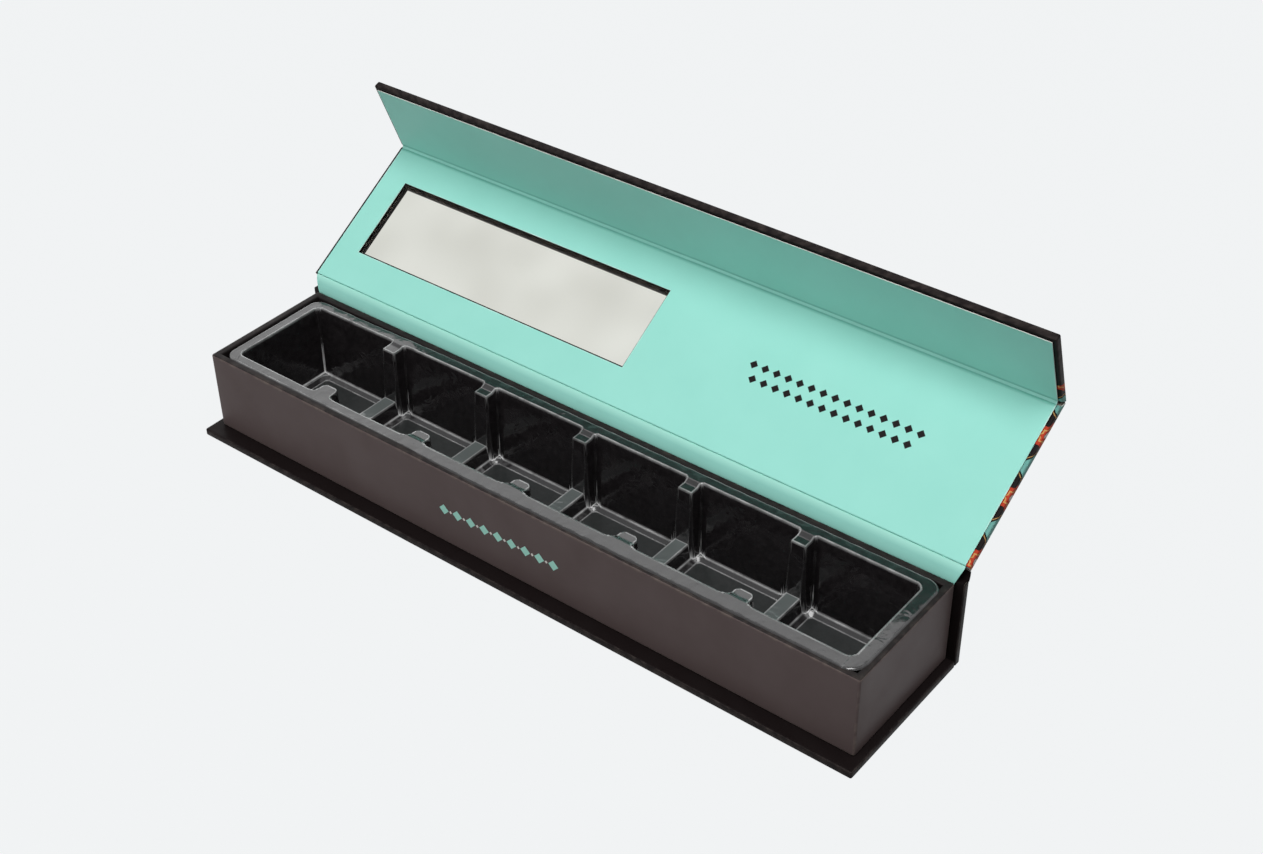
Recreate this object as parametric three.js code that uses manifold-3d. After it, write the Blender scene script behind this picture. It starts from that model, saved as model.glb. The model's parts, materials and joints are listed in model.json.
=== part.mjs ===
import * as THREE from 'three';
import { mergeVertices } from 'three/addons/utils/BufferGeometryUtils.js';
import Module from 'manifold-3d';

// A long rigid gift box of the book kind, standing open. A shallow tray is glued to a case of wrapped boards:
// a base, a spine behind the tray, a lid with a window, and a flap that folds down in front of the tray.
// Millimetres, +Z up. The origin is the middle of the underside, X runs along the box and -Y is the front.

// Sheet stock.
const board = 1.5; // greyboard
const paper = 0.2; // wrapping and lining paper
const glue = 0.2; // glue line between a board and a paper, or between two papers
const clearFilm = 0.15; // film in the window
const tape = 0.1; // paper tape round the tray's corners
const formedSheet = 0.45; // plastic of the insert

// Tray, measured outside its wrapping.
const trayLength = 240;
const trayDepth = 46.5;
const trayHeight = 27;
const innerTurnIn = 18; // how far the wrapping goes down inside the walls
const underTurnIn = 12; // how far it goes in under the tray
const stayLeg = 10; // each leg of a corner tape
const stayHeight = 20;

// Case.
const sideLip = 2.6; // case past the tray at each end
const frontLip = 5.2; // base past the tray in front
const turnIn = 6; // paper turned in over a board's inner face
const liningMargin = 1.2; // bare edge between the lining and the end of a board
const lidClearance = 0.4; // closed lid above the tray's rim
const hingeGap = 0.4; // back edge of the lid from its hinge line
const foldGap = 0.15; // bevelled edge of lid or flap from the fold's middle plane
const flapProud = 0.15; // closed flap past the front of the base
const flapClearance = 0.5; // closed flap above the lip
const hingeBulge = 1.2; // how far the outer sheet bellies out at the open hinge

// Window in the lid. The lining's opening is larger on two sides, where the board's wrapped edge shows.
const windowLength = 108.7;
const windowWidth = 26.3;
const windowFromEnd = 11.4;
const windowFromHinge = 13.2;
const windowRevealEnd = 0.6; // lining's opening past the window, towards the lid's end
const windowRevealFar = 1.3; // and towards the fold
const filmLap = 3; // film past the window on every side

// Magnets in the tray's front wall and steel plates in the flap.
const magnetRadius = 5;
const magnetThickness = 0.8;
const magnetFromEnd = 38;
const magnetHeight = 13.5; // above the tray's foot
const pocketClearance = 0.3;

// Insert.
const cavityCount = 6;
const insertClearance = 0.4; // rim inside the tray's walls
const insertDrop = 0.5; // rim below the tray's rim
const rimWidth = 3.6;
const rimCorner = 4;
const mouthCorner = 2.2;
const wallDraft = 3; // how far the walls lean in from mouth to floor
const partitionTop = 5; // thickness of a partition at the rim
const partitionFoot = 6; // and at the floor
const postDepth = 5; // what is left of a partition at the front and rear walls
const postDraft = 1; // how much deeper a post is at the saddle than at the rim
const saddleHeight = 5.8; // low middle of a partition, above the floor

// Fineness of the round stretches.
const discSides = 32;
const stripSteps = 8; // along each hinge strip
const cornerSteps = 5; // round each corner of the insert
const weld = 1e-5; // points nearer than this are one

// The open pose: the lid's direction above the horizontal, and the flap's turn from the lid's plane.
const lidLean = 32;
const flapTurn = 79;

// Everything below follows from the values above.
const skin = paper + glue;
const wrapped = board + 2 * skin;
const lined = wrapped + skin;
const caseLength = trayLength + 2 * sideLip;
const halfCase = caseLength / 2;
const halfLining = halfCase - liningMargin;
const halfTray = trayLength / 2;
const caseDepth = frontLip + trayDepth + glue + lined;
const frontY = -caseDepth / 2;
const spineOuterY = caseDepth / 2;
const spineInnerY = spineOuterY - lined;
const baseRearY = spineInnerY - glue;
const trayFrontY = frontY + frontLip;
const trayRearY = trayFrontY + trayDepth;
const trayMiddleY = (trayFrontY + trayRearY) / 2;
const trayFootZ = wrapped;
const rimZ = trayFootZ + trayHeight;
const trayFloorZ = trayFootZ + skin + board + skin;
const foldZ = rimZ + lidClearance + lined;
const lidDepth = spineOuterY - frontY + flapProud;
const flapDepth = foldZ - wrapped - flapClearance;
const magnetX = halfTray - magnetFromEnd;
const magnetZ = trayFootZ + magnetHeight;
const magnetPlaces = [['left', -magnetX], ['right', magnetX]];
const pocketDepth = magnetThickness + pocketClearance;
const past = 1; // how far a cutting tool runs past what it cuts

const wasm = await Module();
wasm.setup();

// A box between two limits along each axis.
function block([x0, x1], [y0, y1], [z0, z1]) {
  const geometry = new THREE.BoxGeometry(x1 - x0, y1 - y0, z1 - z0);
  return geometry.translate((x0 + x1) / 2, (y0 + y1) / 2, (z0 + z1) / 2);
}

// An outline in the YZ plane carried along X from -half to half.
function alongX(outline, half) {
  const shape = new THREE.Shape(outline);
  const geometry = new THREE.ExtrudeGeometry(shape, { depth: 2 * half, bevelEnabled: false });
  const turn = new THREE.Matrix4().makeBasis(
    new THREE.Vector3(0, 1, 0),
    new THREE.Vector3(0, 0, 1),
    new THREE.Vector3(1, 0, 0),
  );
  return geometry.applyMatrix4(turn).translate(-half, 0, 0);
}

// A disc whose axis is Y or Z.
function disc(radius, thickness, axis) {
  const geometry = new THREE.CylinderGeometry(radius, radius, thickness, discSides);
  return axis === 'z' ? geometry.rotateX(Math.PI / 2) : geometry;
}

// A closed body to join or cut, and back again to a geometry.
function solid(geometry) {
  const bare = geometry.clone();
  bare.deleteAttribute('normal');
  bare.deleteAttribute('uv');
  const merged = mergeVertices(bare, weld);
  const vertProperties = new Float32Array(merged.attributes.position.array);
  const triVerts = new Uint32Array(merged.index.array);
  return new wasm.Manifold(new wasm.Mesh({ numProp: 3, vertProperties, triVerts }));
}

function meshOf(body) {
  const mesh = body.getMesh();
  const geometry = new THREE.BufferGeometry();
  geometry.setAttribute('position', new THREE.BufferAttribute(new Float32Array(mesh.vertProperties), 3));
  geometry.setIndex(new THREE.BufferAttribute(new Uint32Array(mesh.triVerts), 1));
  geometry.computeVertexNormals();
  return geometry;
}

// One body from several, and one body less its cutting tools.
const join = (geometries) => meshOf(geometries.map(solid).reduce((a, b) => a.add(b)));
const cut = (geometry, tools) => meshOf(tools.map(solid).reduce((a, b) => a.subtract(b), solid(geometry)));

// A rectangular tube round the tray: between two insets from its outside, and between two heights.
function trayRing([outer, inner], [z0, z1]) {
  const plan = (inset, low, high) =>
    block(
      [-halfTray + inset, halfTray - inset],
      [trayFrontY + inset, trayRearY - inset],
      [low, high],
    );
  return cut(plan(outer, z0, z1), [plan(inner, z0 - past, z1 + past)]);
}

// Finishes.
function stuff(color, roughness, metalness = 0) {
  return new THREE.MeshStandardMaterial({ color, roughness, metalness });
}

const greyboard = () => stuff(0x8d8478, 0.9);
const blackPaper = () => stuff(0x171213, 0.5);
const mintPaper = () => stuff(0x96d4c6, 0.55);
const brownPaper = () => stuff(0x3b3230, 0.5);
const kraftTape = () => stuff(0xa9855c, 0.8);
const steel = () => stuff(0xb4b6b8, 0.3, 1);
const blackPlastic = () => stuff(0x0d0d0e, 0.2);
const clearPlastic = () => stuff(0xe6e8e6, 0.1);

function add(group, name, geometry, material) {
  const mesh = new THREE.Mesh(geometry, material);
  mesh.name = name;
  group.add(mesh);
}

// Base: a board wrapped from below, the paper turned up its front and ends and in over its top.
function addBase(group) {
  const boardSpan = [-halfCase + skin, halfCase - skin];
  add(group, 'base_board', block(boardSpan, [frontY + skin, baseRearY], [skin, skin + board]), greyboard());
  const depth = [frontY, baseRearY];
  const turned = [wrapped - paper, wrapped];
  const sheets = [
    block([-halfCase, halfCase], depth, [0, paper]),
    block([-halfCase, halfCase], [frontY, frontY + paper], [0, wrapped]),
    block([-halfCase, -halfCase + paper], depth, [0, wrapped]),
    block([halfCase - paper, halfCase], depth, [0, wrapped]),
    block([-halfCase, halfCase], [frontY, frontY + frontLip + turnIn], turned),
    block([-halfCase, -halfCase + sideLip + turnIn], depth, turned),
    block([halfCase - sideLip - turnIn, halfCase], depth, turned),
  ];
  add(group, 'base_wrap', join(sheets), blackPaper());
}

// Spine: stands on the same surface as the base, its paper carried round from below, and lined in front.
function addSpine(group) {
  const boardSpan = [-halfCase + skin, halfCase - skin];
  const boardDepth = [spineOuterY - skin - board, spineOuterY - skin];
  add(group, 'spine_board', block(boardSpan, boardDepth, [skin, rimZ]), greyboard());
  const height = [0, rimZ];
  const depth = [spineOuterY - wrapped, spineOuterY];
  const turned = [spineOuterY - wrapped, spineOuterY - wrapped + paper];
  const sheets = [
    block([-halfCase, halfCase], [spineOuterY - paper, spineOuterY], height),
    block([-halfCase, halfCase], [spineInnerY, spineOuterY], [0, paper]),
    block([-halfCase, -halfCase + paper], depth, height),
    block([halfCase - paper, halfCase], depth, height),
    block([-halfCase, -halfCase + turnIn], turned, height),
    block([halfCase - turnIn, halfCase], turned, height),
  ];
  add(group, 'spine_wrap', join(sheets), blackPaper());
  const lining = block([-halfLining, halfLining], [spineInnerY, spineInnerY + paper], [trayFootZ, rimZ]);
  add(group, 'spine_lining', lining, mintPaper());
}

// A point of the open lid, from its distance along the lid and its depth in from the outer face, as [y, z].
function lidPoint(along, inward) {
  const lean = THREE.MathUtils.degToRad(lidLean);
  const y = spineOuterY + along * Math.cos(lean) - inward * Math.sin(lean);
  const z = foldZ + along * Math.sin(lean) + inward * Math.cos(lean);
  return new THREE.Vector2(y, z);
}

// A strip of paper that follows a curve in the YZ plane.
function strip(from, control, to, half) {
  const curve = new THREE.QuadraticBezierCurve(from, control, to);
  const left = [];
  const right = [];
  for (let i = 0; i <= stripSteps; i += 1) {
    const point = curve.getPoint(i / stripSteps);
    const tangent = curve.getTangent(i / stripSteps);
    const normal = new THREE.Vector2(-tangent.y, tangent.x).multiplyScalar(paper / 2);
    left.push(point.clone().add(normal));
    right.push(point.clone().sub(normal));
  }
  return alongX([...right, ...left.reverse()], half);
}

// Hinge: two unbacked stretches of paper between the spine and the lid.
function addHinge(group) {
  const outerFrom = new THREE.Vector2(spineOuterY - paper / 2, rimZ + glue);
  const outerTo = lidPoint(hingeGap - glue, paper / 2);
  const outerBelly = new THREE.Vector2(spineOuterY + 2 * hingeBulge, (outerFrom.y + outerTo.y) / 2);
  add(group, 'lid_hinge_wrap', strip(outerFrom, outerBelly, outerTo, halfCase), blackPaper());
  const innerFrom = new THREE.Vector2(spineInnerY + paper / 2, rimZ + glue);
  const innerTo = lidPoint(hingeGap - glue, lined - paper / 2);
  const innerBend = new THREE.Vector2(spineInnerY + paper / 2, (innerFrom.y + innerTo.y) / 2);
  add(group, 'lid_hinge_lining', strip(innerFrom, innerBend, innerTo, halfLining), mintPaper());
}

// Tray: five boards, taped at the corners, wrapped outside, over the rim and down inside.
function addTray(group) {
  const wallZ = [trayFootZ + skin, rimZ - skin];
  const longX = [-halfTray + skin, halfTray - skin];
  const innerX = halfTray - skin - board;
  const innerY = [trayFrontY + skin + board, trayRearY - skin - board];
  const frontWall = block(longX, [trayFrontY + skin, innerY[0]], wallZ);
  const pockets = magnetPlaces.map(([, x]) =>
    disc(magnetRadius + pocketClearance, pocketDepth + past, 'y')
      .translate(x, trayFrontY + skin + (pocketDepth - past) / 2, magnetZ));
  add(group, 'tray_front_wall', cut(frontWall, pockets), greyboard());
  add(group, 'tray_rear_wall', block(longX, [innerY[1], trayRearY - skin], wallZ), greyboard());
  add(group, 'tray_left_wall', block([-halfTray + skin, -innerX], innerY, wallZ), greyboard());
  add(group, 'tray_right_wall', block([innerX, halfTray - skin], innerY, wallZ), greyboard());
  const floorZ = [trayFootZ + skin, trayFootZ + skin + board];
  add(group, 'tray_bottom', block([-innerX, innerX], innerY, floorZ), greyboard());
  const paperInset = skin + board + glue;
  const paperX = [-halfTray + paperInset, halfTray - paperInset];
  const paperY = [trayFrontY + paperInset, trayRearY - paperInset];
  add(group, 'tray_floor_paper', block(paperX, paperY, [trayFloorZ - paper, trayFloorZ]), brownPaper());

  const magnetY = trayFrontY + skin + (magnetThickness + glue) / 2;
  for (const [side, x] of magnetPlaces) {
    const magnet = disc(magnetRadius, magnetThickness, 'y').translate(x, magnetY, magnetZ);
    add(group, `tray_magnet_${side}`, magnet, steel());
  }

  const sheets = [
    trayRing([0, paper], [trayFootZ, rimZ]),
    trayRing([0, wrapped], [rimZ - paper, rimZ]),
    trayRing([wrapped - paper, wrapped], [rimZ - innerTurnIn, rimZ]),
    trayRing([0, underTurnIn], [trayFootZ, trayFootZ + paper]),
  ];
  add(group, 'tray_wrap', join(sheets), brownPaper());
}

// The stretch that runs inwards from a corner, its lower end first.
const inwards = (corner, side, length) => [corner, corner - side * length].sort((a, b) => a - b);

// Corner tapes: each an L of two legs, lying between the boards and the wrapping.
function addCornerStays(group) {
  const inset = paper + (glue - tape) / 2;
  const stayFootZ = trayFootZ + (trayHeight - stayHeight) / 2;
  const stayZ = [stayFootZ, stayFootZ + stayHeight];
  const corners = [
    ['corner_stay_front_left', -1, -1],
    ['corner_stay_front_right', 1, -1],
    ['corner_stay_rear_left', -1, 1],
    ['corner_stay_rear_right', 1, 1],
  ];
  for (const [name, sideX, sideY] of corners) {
    const cornerX = sideX * (halfTray - inset);
    const cornerY = trayMiddleY + sideY * (trayDepth / 2 - inset);
    const legs = [
      block(inwards(cornerX, sideX, stayLeg), inwards(cornerY, sideY, tape), stayZ),
      block(inwards(cornerX, sideX, tape), inwards(cornerY, sideY, stayLeg), stayZ),
    ];
    add(group, name, join(legs), kraftTape());
  }
}

// A rectangle with round corners, centred on the origin.
function roundedPlan(length, depth, radius) {
  const x = length / 2;
  const y = depth / 2;
  const shape = new THREE.Shape();
  shape.moveTo(-x + radius, -y);
  shape.lineTo(x - radius, -y);
  shape.absarc(x - radius, -y + radius, radius, -Math.PI / 2, 0);
  shape.lineTo(x, y - radius);
  shape.absarc(x - radius, y - radius, radius, 0, Math.PI / 2);
  shape.lineTo(-x + radius, y);
  shape.absarc(-x + radius, y - radius, radius, Math.PI / 2, Math.PI);
  shape.lineTo(-x, -y + radius);
  shape.absarc(-x + radius, -y + radius, radius, Math.PI, 1.5 * Math.PI);
  return shape;
}

// A plan centred on the tray, carried up between two heights.
function plate(shape, [z0, z1]) {
  const options = { depth: z1 - z0, bevelEnabled: false, curveSegments: cornerSteps };
  return new THREE.ExtrudeGeometry(shape, options).translate(0, trayMiddleY, z0);
}

// Insert: one thin formed sheet. The cavities are a trough that narrows to its floor, crossed by partitions;
// each partition is cut down to a low saddle between a post on the front wall and a post on the rear wall.
const insertTopZ = rimZ - insertDrop;
const insertFloorZ = trayFloorZ + formedSheet;
const insertLength = trayLength - 2 * (wrapped + insertClearance);
const insertDepth = trayDepth - 2 * (wrapped + insertClearance);
const mouthLength = insertLength - 2 * rimWidth;
const mouthDepth = insertDepth - 2 * rimWidth;
const cavityPitch = (mouthLength + partitionTop) / cavityCount;
const saddleZ = insertFloorZ + saddleHeight;

// A plan carried from the floor to the mouth, with its walls leaning out by the draft.
function trough(grow) {
  const floorZ = insertFloorZ - grow;
  const topZ = insertTopZ + past;
  const length = mouthLength + 2 * grow;
  const depth = mouthDepth + 2 * grow;
  const geometry = plate(roundedPlan(length, depth, mouthCorner + grow), [floorZ, topZ]);
  const position = geometry.attributes.position;
  for (let i = 0; i < position.count; i += 1) {
    const inset = wallDraft * (1 - (position.getZ(i) - floorZ) / (insertTopZ - floorZ));
    const x = position.getX(i);
    const y = position.getY(i) - trayMiddleY;
    position.setX(i, x * (1 - (2 * inset) / length));
    position.setY(i, trayMiddleY + y * (1 - (2 * inset) / depth));
  }
  return geometry;
}

// A wall across the trough, thicker at its foot.
function partition(x, shrink) {
  const topZ = insertTopZ + 2 * past;
  const footZ = insertFloorZ - formedSheet - past;
  const geometry = block([-1, 1], [-trayDepth, trayDepth], [footZ, topZ]);
  const position = geometry.attributes.position;
  for (let i = 0; i < position.count; i += 1) {
    const up = (position.getZ(i) - insertFloorZ) / (insertTopZ - insertFloorZ);
    const thickness = partitionFoot + (partitionTop - partitionFoot) * up;
    position.setX(i, position.getX(i) * (thickness / 2 - shrink));
  }
  return geometry.translate(x, 0, 0);
}

// The opening over a saddle, from post to post.
function saddleNotch(grow) {
  const floor = saddleZ - grow;
  const top = insertTopZ + 3 * past;
  const atRim = mouthDepth / 2 - postDepth + grow;
  const lean = postDraft / (insertTopZ - saddleZ);
  const halfAt = (z) => atRim - lean * (insertTopZ - z);
  const outline = [
    new THREE.Vector2(trayMiddleY - halfAt(floor), floor),
    new THREE.Vector2(trayMiddleY + halfAt(floor), floor),
    new THREE.Vector2(trayMiddleY + halfAt(top), top),
    new THREE.Vector2(trayMiddleY - halfAt(top), top),
  ];
  return alongX(outline, mouthLength);
}

// The space within the sheet: the cavities with no growth, and grown by the sheet's thickness its outside.
function insertSpace(grow) {
  const notch = solid(saddleNotch(grow));
  let space = solid(trough(grow));
  for (let i = 1; i < cavityCount; i += 1) {
    const x = (i - cavityCount / 2) * cavityPitch;
    space = space.subtract(solid(partition(x, grow)).subtract(notch));
  }
  return space;
}

function addInsert(group) {
  const rim = roundedPlan(insertLength, insertDepth, rimCorner);
  const flange = solid(plate(rim, [insertTopZ - formedSheet, insertTopZ]));
  const wide = [-trayLength, trayLength];
  const above = solid(block(wide, wide, [insertTopZ, insertTopZ + trayHeight]));
  const outside = insertSpace(formedSheet).subtract(above);
  add(group, 'insert', meshOf(flange.add(outside).subtract(insertSpace(0))), blackPlastic());
}

// Tool that bevels the lid's front edge for the fold; the flap's edge is bevelled the other way.
function lidBevel() {
  const deep = lined + past;
  const outline = [
    new THREE.Vector2(lidDepth - foldGap + past, -past),
    new THREE.Vector2(lidDepth + 2 * deep, -past),
    new THREE.Vector2(lidDepth + 2 * deep, deep),
    new THREE.Vector2(lidDepth - foldGap - deep, deep),
  ];
  return alongX(outline, caseLength);
}

function flapBevel() {
  const deep = lined + past;
  const outline = [
    new THREE.Vector2(-2 * deep, -past),
    new THREE.Vector2(foldGap - past, -past),
    new THREE.Vector2(foldGap + deep, deep),
    new THREE.Vector2(-2 * deep, deep),
  ];
  return alongX(outline, caseLength);
}

// Depths in a lined panel, from its outer face inwards.
const wrapLayer = [0, paper];
const boardLayer = [skin, skin + board];
const turnedLayer = [wrapped - paper, wrapped];
const liningLayer = [lined - paper, lined];
const windowX = [-halfCase + windowFromEnd, -halfCase + windowFromEnd + windowLength];
const windowY = [windowFromHinge, windowFromHinge + windowWidth];

// The window's plan, grown on every side, between two depths of the lid.
function windowBlock(grow, depths) {
  const wider = ([low, high]) => [low - grow, high + grow];
  return block(wider(windowX), wider(windowY), depths);
}

// Lid: lies in its own frame, with Y from the hinge to the fold and Z inwards from the outer face.
function addLid(group) {
  const through = [-past, lined + past];
  const length = [hingeGap, lidDepth];
  const lidBoard = block([-halfCase + skin, halfCase - skin], length, boardLayer);
  add(group, 'lid_board', cut(lidBoard, [windowBlock(skin, through), lidBevel()]), greyboard());
  const sheets = [
    block([-halfCase, halfCase], length, wrapLayer),
    block([-halfCase, -halfCase + paper], length, [0, wrapped]),
    block([halfCase - paper, halfCase], length, [0, wrapped]),
    block([-halfCase, -halfCase + turnIn], length, turnedLayer),
    block([halfCase - turnIn, halfCase], length, turnedLayer),
    windowBlock(paper, [0, skin + board]),
  ];
  add(group, 'lid_wrap', cut(join(sheets), [windowBlock(0, through), lidBevel()]), blackPaper());
  const lining = block([-halfLining, halfLining], length, liningLayer);
  const openingX = [windowX[0] - windowRevealEnd, windowX[1]];
  const openingY = [windowY[0], windowY[1] + windowRevealFar];
  const opening = block(openingX, openingY, through);
  add(group, 'lid_lining', cut(lining, [opening, lidBevel()]), mintPaper());
  const filmZ = skin + board + glue;
  add(group, 'window_film', windowBlock(filmLap, [filmZ, filmZ + clearFilm]), clearPlastic());
}

// Flap: lies in its own frame, with Y from the fold to its free edge and Z inwards from the outer face.
function addFlap(group) {
  const length = [0, flapDepth];
  const plateY = foldZ - magnetZ;
  const pockets = magnetPlaces.map(([, x]) =>
    disc(magnetRadius + pocketClearance, pocketDepth + past, 'z')
      .translate(x, plateY, skin + board - (pocketDepth - past) / 2));
  const flapBoard = block([-halfCase + skin, halfCase - skin], [0, flapDepth - skin], boardLayer);
  add(group, 'flap_board', cut(flapBoard, [flapBevel(), ...pockets]), greyboard());
  const plateZ = skin + board - (magnetThickness + glue) / 2;
  for (const [side, x] of magnetPlaces) {
    const steelPlate = disc(magnetRadius, magnetThickness, 'z').translate(x, plateY, plateZ);
    add(group, `flap_plate_${side}`, steelPlate, steel());
  }
  const sheets = [
    block([-halfCase, halfCase], length, wrapLayer),
    block([-halfCase, -halfCase + paper], length, [0, wrapped]),
    block([halfCase - paper, halfCase], length, [0, wrapped]),
    block([-halfCase, halfCase], [flapDepth - paper, flapDepth], [0, wrapped]),
    block([-halfCase, -halfCase + turnIn], length, turnedLayer),
    block([halfCase - turnIn, halfCase], length, turnedLayer),
    block([-halfCase, halfCase], [flapDepth - turnIn, flapDepth], turnedLayer),
  ];
  add(group, 'flap_wrap', cut(join(sheets), [flapBevel()]), blackPaper());
  const lining = block([-halfLining, halfLining], [0, flapDepth - liningMargin], liningLayer);
  add(group, 'flap_lining', cut(lining, [flapBevel()]), mintPaper());
}

const giftBox = new THREE.Group();
addBase(giftBox);
addSpine(giftBox);
addTray(giftBox);
addCornerStays(giftBox);
addInsert(giftBox);
addHinge(giftBox);

const lid = new THREE.Group();
lid.position.set(0, spineOuterY, foldZ);
lid.rotation.x = THREE.MathUtils.degToRad(lidLean);
addLid(lid);
giftBox.add(lid);

const flap = new THREE.Group();
flap.position.set(0, lidDepth, 0);
flap.rotation.x = THREE.MathUtils.degToRad(flapTurn);
addFlap(flap);
lid.add(flap);

export default giftBox;
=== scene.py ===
# %% [markdown]
# # A rigid gift box, standing open
# The box is of the book kind: a shallow tray sits on a case of wrapped boards, and the case is a base, a
# spine, a lid with a window and a flap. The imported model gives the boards, the joints and every size. This
# lesson adds what the eye sees: paper with its folded edges, a mint lining, a glossy formed insert and a
# clear film. All lengths are in millimetres until a mesh is made, because paper is easier to think about
# that way.

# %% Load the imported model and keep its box
import json
import math

import bpy
import numpy as np
from mathutils import Matrix, Vector


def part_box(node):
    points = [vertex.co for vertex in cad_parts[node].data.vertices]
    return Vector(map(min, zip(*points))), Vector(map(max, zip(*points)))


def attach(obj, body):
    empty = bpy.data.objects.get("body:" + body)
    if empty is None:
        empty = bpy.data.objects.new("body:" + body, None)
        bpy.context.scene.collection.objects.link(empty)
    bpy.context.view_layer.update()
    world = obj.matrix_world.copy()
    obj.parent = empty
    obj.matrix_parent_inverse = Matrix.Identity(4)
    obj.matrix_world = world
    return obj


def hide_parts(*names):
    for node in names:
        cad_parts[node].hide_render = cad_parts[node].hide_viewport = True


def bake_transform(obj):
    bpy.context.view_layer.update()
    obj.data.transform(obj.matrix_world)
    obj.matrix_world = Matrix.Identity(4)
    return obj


MM = 0.001
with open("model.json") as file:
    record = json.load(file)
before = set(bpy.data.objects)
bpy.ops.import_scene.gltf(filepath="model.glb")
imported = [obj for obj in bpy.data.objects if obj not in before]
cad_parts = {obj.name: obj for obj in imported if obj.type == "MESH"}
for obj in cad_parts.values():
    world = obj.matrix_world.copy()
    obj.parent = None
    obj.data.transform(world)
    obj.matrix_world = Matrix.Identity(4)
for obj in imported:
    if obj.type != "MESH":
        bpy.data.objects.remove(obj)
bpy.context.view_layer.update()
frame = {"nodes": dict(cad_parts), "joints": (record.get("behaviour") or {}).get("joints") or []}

# %% [markdown]
# The camera stands where the photograph was taken from. It could be set by eye. Here its place, its turn
# and its lens come from fitting the box's corners and edges, so the picture's own frame needs no shift.

# %% Camera
EYE = Vector((287.65, -322.56, 359.62)) * MM
YAW, PITCH, ROLL = (math.radians(angle) for angle in (-38.562, 36.423, -0.804))
LENS = 53.62
SENSOR = 36.0
NEAREST = 0.01
FARTHEST = 30

forward = Vector((math.sin(YAW) * math.cos(PITCH), math.cos(YAW) * math.cos(PITCH), -math.sin(PITCH)))
level = Vector((math.cos(YAW), -math.sin(YAW), 0))
upward = level.cross(forward)
right = math.cos(ROLL) * level + math.sin(ROLL) * upward
top = math.cos(ROLL) * upward - math.sin(ROLL) * level

camera = bpy.data.objects.new("camera", bpy.data.cameras.new("camera"))
bpy.context.scene.collection.objects.link(camera)
camera.matrix_world = Matrix.Translation(EYE) @ Matrix((right, top, -forward)).transposed().to_4x4()
camera.data.lens = LENS
camera.data.sensor_width = SENSOR
camera.data.clip_start = NEAREST
camera.data.clip_end = FARTHEST
bpy.context.scene.camera = camera
bpy.context.scene.view_settings.view_transform = "Standard"
print("camera looks down by", round(math.degrees(PITCH), 1), "degrees")

# %% [markdown]
# Sizes are read from the frame instead of being typed again. The lid and the flap each get a frame of their
# own: X along the box, S from the hinge or the fold to the far edge, and N inwards from the outer face.

# %% Panels
def box_of(node):
    """Lowest and highest corner of a node, in millimetres."""
    return np.array(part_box(node)) / MM


def joint(name):
    """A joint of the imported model."""
    return next(j for j in frame["joints"] if j["name"] == name)


def vertices_of(node):
    """All corners of a node, one row each, in millimetres."""
    mesh = frame["nodes"][node].data
    flat = np.empty(3 * len(mesh.vertices), np.float32)
    mesh.vertices.foreach_get("co", flat)
    return flat.reshape(-1, 3).astype(float) / MM


class Panel:
    """A frame on a hinged panel: a point on its hinge line, and its lean from the horizontal."""

    def __init__(self, origin, lean):
        self.origin = origin
        self.lean = lean
        self.along = np.array([0, math.cos(lean), math.sin(lean)])
        self.inward = np.array([0, -math.sin(lean), math.cos(lean)])

    def place(self, x, s, n):
        """Points of the frame from X, S and N: origin + x ex + s along + n inward."""
        x, s, n = np.broadcast_arrays(x, s, n)
        across = x[..., None] * np.array([1.0, 0, 0])
        return self.origin + across + s[..., None] * self.along + n[..., None] * self.inward

    def spread(self, node):
        """Smallest and largest X, S and N of a node's corners."""
        rest = vertices_of(node) - self.origin
        seen = np.stack([rest[:, 0], rest @ self.along, rest @ self.inward], 1)
        return seen.min(0), seen.max(0)


hinge_at = np.array(joint("lid_hinge")["pos_m"]) / MM
fold_at = np.array(joint("flap_fold")["pos_m"]) / MM
lid_lean = math.atan2(fold_at[2] - hinge_at[2], fold_at[1] - hinge_at[1])
fold_turn = -math.radians(joint("flap_fold")["range_deg"][0])
lid = Panel(hinge_at, lid_lean)
flap = Panel(fold_at, lid_lean + fold_turn)
lid_depth = float(np.linalg.norm(fold_at - hinge_at))
print("lid", round(lid_depth, 2), "mm deep, leaning", round(math.degrees(lid_lean), 1), "degrees")

# %% [markdown]
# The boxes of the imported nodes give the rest: how far the boards reach, how thick they are once wrapped and
# lined, and where the window lies. The film laps the window by the same width on every side.

# %% Sizes from the frame
FOLD_GAP = 0.15
FILM_LAP = 3.0

tray_low, tray_high = box_of("tray_wrap")
base_low, base_high = box_of("base_wrap")
spine_high = box_of("spine_wrap")[1]
half_case = float(base_high[0])
half_lining = float(box_of("lid_lining")[1][0])
wrap_depth = float(lid.spread("lid_wrap")[1][2])
lining_depth = float(lid.spread("lid_lining")[1][2])
board_inner = float(lid.spread("lid_board")[1][2])
lid_start = float(lid.spread("lid_wrap")[0][1])
flap_depth = float(flap.spread("flap_wrap")[1][1])
flap_lining_end = float(flap.spread("flap_lining")[1][1])
groove_half = FOLD_GAP + lining_depth
film_low, film_high = lid.spread("window_film")
window_x = (film_low[0] + FILM_LAP, film_high[0] - FILM_LAP)
window_s = (film_low[1] + FILM_LAP, film_high[1] - FILM_LAP)
print("window", np.round(window_x, 2), np.round(window_s, 2))

# %% [markdown]
# Materials are node trees. A few small helpers keep them readable: one sets or links a socket, one adds a
# node, and the others add the nodes that come up again and again. Effects that several finishes share
# become node groups with named sockets.

# %% Node helpers
def wire(tree, socket, value):
    """Links another node's output to the socket, or sets a plain value on it."""
    if isinstance(value, bpy.types.NodeSocket):
        tree.links.new(value, socket)
    else:
        socket.default_value = value


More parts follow.
